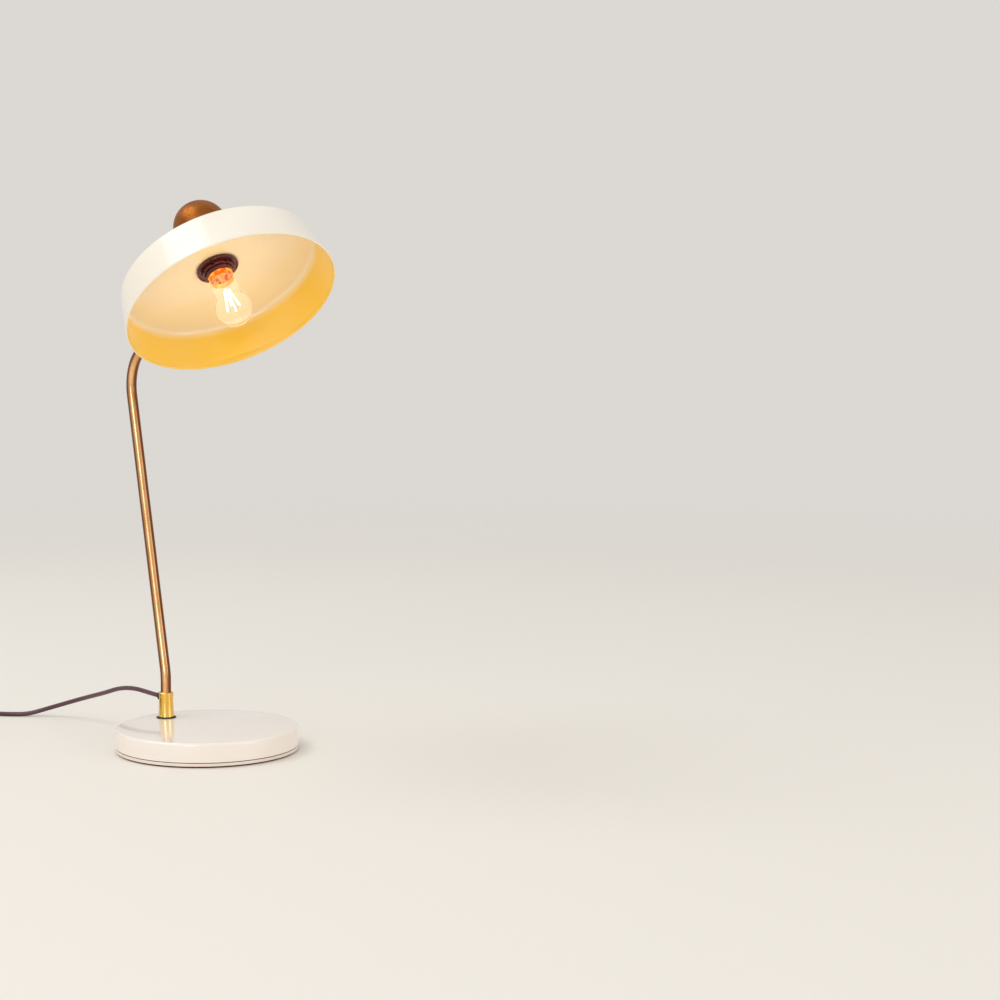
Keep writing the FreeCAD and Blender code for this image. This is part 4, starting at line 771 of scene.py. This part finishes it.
# The cord's line: a smooth spline whose control points are the two runs, the coil and the tail.
def buildCord(s):
    route = np.concatenate([lampRun, linkRun, coilPoints(s), tailRun]) / 1000
    line = bpy.data.curves.new("cord", "CURVE")
    line.dimensions = "3D"
    spline = line.splines.new("NURBS")
    spline.points.add(len(route) - 1)
    spline.points.foreach_set("co", np.c_[route, np.ones(len(route))].ravel())
    spline.order_u = 3
    spline.use_endpoint_u = True
    spline.resolution_u = 6
    line.bevel_depth = s["diameter"] / 2
    line.bevel_resolution = 5
    line.use_fill_caps = True
    line.materials.append(cordPlastic)
    cord = bpy.data.objects.new("cord", line)
    bpy.context.scene.collection.objects.link(cord)
    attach(cord, "base")
    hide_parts("cord_lamp_run", "cord_coil_link", "cord_coil", "cord_plug_tail")


buildCord(cordSizes)
print("cord laid")

tieSizes = {"width": 7.0, "thick": 0.8, "spare": 0.3, "bend": 2.6}


# A soft strap round the coil's turns: two rounded outlines, one inside the other, drawn across the coil.
def buildTie(s, coil):
    wire = coil["diameter"] * 500
    inside = coil["coilOuter"] - coil["pitch"] * coil["turnsPerLayer"] - wire - s["spare"]
    outside = coil["coilOuter"] + wire + s["spare"]
    top = coil["layer"] * (coil["layers"] - 1) + 2 * wire + s["spare"]
    loops = []
    for grown in (s["thick"], 0.0):
        bend = s["bend"] + grown
        low = s["thick"] - grown
        corners = [(inside - grown, low, bend), (outside + grown, low, bend),
                   (outside + grown, top + grown, bend), (inside - grown, top + grown, bend)]
        loops.append(outline(corners, steps=8))
    half = s["width"] / 2
    sides = [(loops[0], -half), (loops[0], half), (loops[1], half), (loops[1], -half)]
    grid = np.stack([np.c_[loop[:, 0], np.full(len(loop), shift), loop[:, 1]] for loop, shift in sides])
    place = (np.eye(3), np.array([*coil["coilCentre"], 0.0]))
    gridPiece("coilTie", grid, place, "base", [blackRubber], slot="black_plastic")


buildTie(tieSizes, cordSizes)

grommetSizes = {
    "start": 71.45,
    "length": 3.2,
    "wide": 4.7,
    "narrow": 3.5,
    "bore": 2.33,
    "neck": 3.2,
    "height": 45.0,
    "behind": -1.7,
    "flange": 0.9,
}


# The cone stands out along y: a profile of (radius, distance) turned about the lead's line.
def buildGrommet(s):
    turn = turnAbout("X", -90)
    place = (turn, np.array([0, s["start"], s["height"]]))
    end = s["length"]
    profile = outline([
        (s["bore"], s["behind"]), (s["bore"], end, 0.3), (s["narrow"], end, 0.5),
        (s["wide"], s["flange"], 0.4),
        (s["wide"], 0, 0.2), (s["neck"], 0), (s["neck"], s["behind"])], steps=5)
    turnedPiece("leadGrommet", profile, place, "base", [blackRubber], around=64, replaced=["lead_grommet"],
                slot="black_plastic")


buildGrommet(grommetSizes)

# Finishes of the pieces that come straight from the frame.
nodeFinish = {
    "zinc": (zincSteel, ["pan_screws", "toothed_washer", "tail_nut", "stem_yoke", "holder_nipple",
                         "nipple_nuts",
                         "cap_bridge", "filament_support"]),
    "iron": (castIron, ["ballast_disc"]),
    "brass": (contactBrass, ["socket_shell", "centre_contact", "terminal_screws", "bulb_cap", "plug_pins"]),
    "capBrass": (capBrass, ["pivot_screws"]),
    "resin": (darkResin, ["holder_cap"]),
    "rubber": (blackRubber, ["shade_gasket", "friction_washers"]),
    "porcelain": (porcelain, ["holder_insert"]),
    "cord": (cordPlastic, ["inlet_flex", "stem_flex", "head_leads"]),
    "switch": (switchPlastic, ["switch_lower_shell", "switch_upper_shell", "switch_cradle", "plug_body"]),
    "rocker": (rockerPlastic, ["switch_rocker"]),
}
for material, names in nodeFinish.values():
    for name in names:
        nodes[name].data.materials.clear()
        nodes[name].data.materials.append(material)
print("frame pieces finished")

# Studio.
studio = {
    "floor": linear(240, 236, 229),
    "wall": (0.715, 0.69, 0.655),
    "worldStrength": 0.7,
    "floorFadeStart": 0.9,
    "floorFadeEnd": 2.6,
    "camera": (-1.6271, -1.9676, 0.5195),
    "lookAlong": (0.7166, 0.6894, -0.1061),
    "lens": 93.6,
    "floorHalf": 40.0,
}


# A floor that fades with distance, and a world whose shown colour differs from its light.
def buildStudio(s):
    floorMesh = bpy.data.meshes.new("floor")
    half = s["floorHalf"]
    corners = [(-half, -half, 0), (half, -half, 0), (half, half, 0), (-half, half, 0)]
    floorMesh.from_pydata(corners, [], [(0, 1, 2, 3)])
    floor = bpy.data.objects.new("floor", floorMesh)
    bpy.context.scene.collection.objects.link(floor)
    material, tree, shader, where = newMaterial("studio_floor", s["floor"], Roughness=0.6)
    # The floor fades into the pale backdrop with distance from the lamp, so no horizon line shows.
    reach = addNode(tree, "VectorMath", {0: where}, operation="LENGTH").outputs["Value"]
    fade = ranged(tree, reach, s["floorFadeStart"], s["floorFadeEnd"], 1.0, 0.0, smooth=True)
    tree.links.new(fade, shader.inputs["Alpha"])
    floorMesh.materials.append(material)
    world = bpy.data.worlds.new("studio")
    bpy.context.scene.world = world
    world.use_nodes = True
    tree = world.node_tree
    background = tree.nodes["Background"]
    background.inputs["Color"].default_value = (1.0, 0.985, 0.96, 1.0)
    background.inputs["Strength"].default_value = s["worldStrength"]
    shown = addNode(tree, "Background", {"Color": (*s["wall"], 1.0), "Strength": 1.0})
    path = addNode(tree, "LightPath")
    seen = addNode(tree, "Math", {0: path.outputs["Is Camera Ray"], 1: path.outputs["Is Transmission Ray"]},
                   operation="MAXIMUM")
    mixed = addNode(tree, "MixShader", {0: seen.outputs[0], 1: background.outputs[0], 2: shown.outputs[0]})
    tree.links.new(mixed.outputs[0], tree.nodes["World Output"].inputs["Surface"])


lampTarget = (0, 0, 0.3)
lamps = {
    "keyLight": {"place": (-2.3, -1.2, 1.1), "size": (0.6, 2.0), "power": 13, "colour": (1.0, 0.97, 0.93)},
    "fillLight": {"place": (0.7, -2.6, 0.9), "size": (1.2, 1.6), "power": 10, "colour": (1.0, 0.97, 0.94)},
    "topLight": {"place": (-1.0, 0.9, 2.35), "size": (1.8, 1.3), "power": 19, "colour": (1.0, 0.98, 0.95)},
}


# A rectangular lamp turned towards the target.
def addLamp(name, s):
    light = bpy.data.lights.new(name, "AREA")
    light.shape = "RECTANGLE"
    light.size, light.size_y = s["size"]
    light.energy = s["power"]
    light.color = s["colour"]
    lamp = bpy.data.objects.new(name, light)
    bpy.context.scene.collection.objects.link(lamp)
    lamp.location = s["place"]
    lamp.rotation_mode = "QUATERNION"
    lamp.rotation_quaternion = (Vector(lampTarget) - Vector(s["place"])).to_track_quat("-Z", "Y")


buildStudio(studio)
for lampName, settings in lamps.items():
    addLamp(lampName, settings)

# The bulb's own light, carried by the head so that it stays in the shade at every pose.
bulbGlow = {"power": 0.032, "colour": (1.0, 0.84, 0.6), "softness": 0.014, "height": 4.0}
glowLight = bpy.data.lights.new("bulbGlow", "POINT")
glowLight.energy = bulbGlow["power"]
glowLight.color = bulbGlow["colour"]
glowLight.shadow_soft_size = bulbGlow["softness"]
glowLamp = bpy.data.objects.new("bulbGlow", glowLight)
bpy.context.scene.collection.objects.link(glowLamp)
glowLamp.location = put([(0, 0, bulbGlow["height"])], headPlace)[0]
glowLamp.visible_camera = False
glowLamp.visible_transmission = False
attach(glowLamp, "head")

camera = bpy.data.objects.new("camera", bpy.data.cameras.new("camera"))
bpy.context.scene.collection.objects.link(camera)
camera.data.lens = studio["lens"]
camera.data.sensor_width = 36.0
camera.data.clip_end = 50.0
camera.location = studio["camera"]
camera.rotation_mode = "QUATERNION"
camera.rotation_quaternion = Vector(studio["lookAlong"]).to_track_quat("-Z", "Y")
bpy.context.scene.camera = camera
bpy.context.scene.view_settings.view_transform = "Standard"
print("studio set")
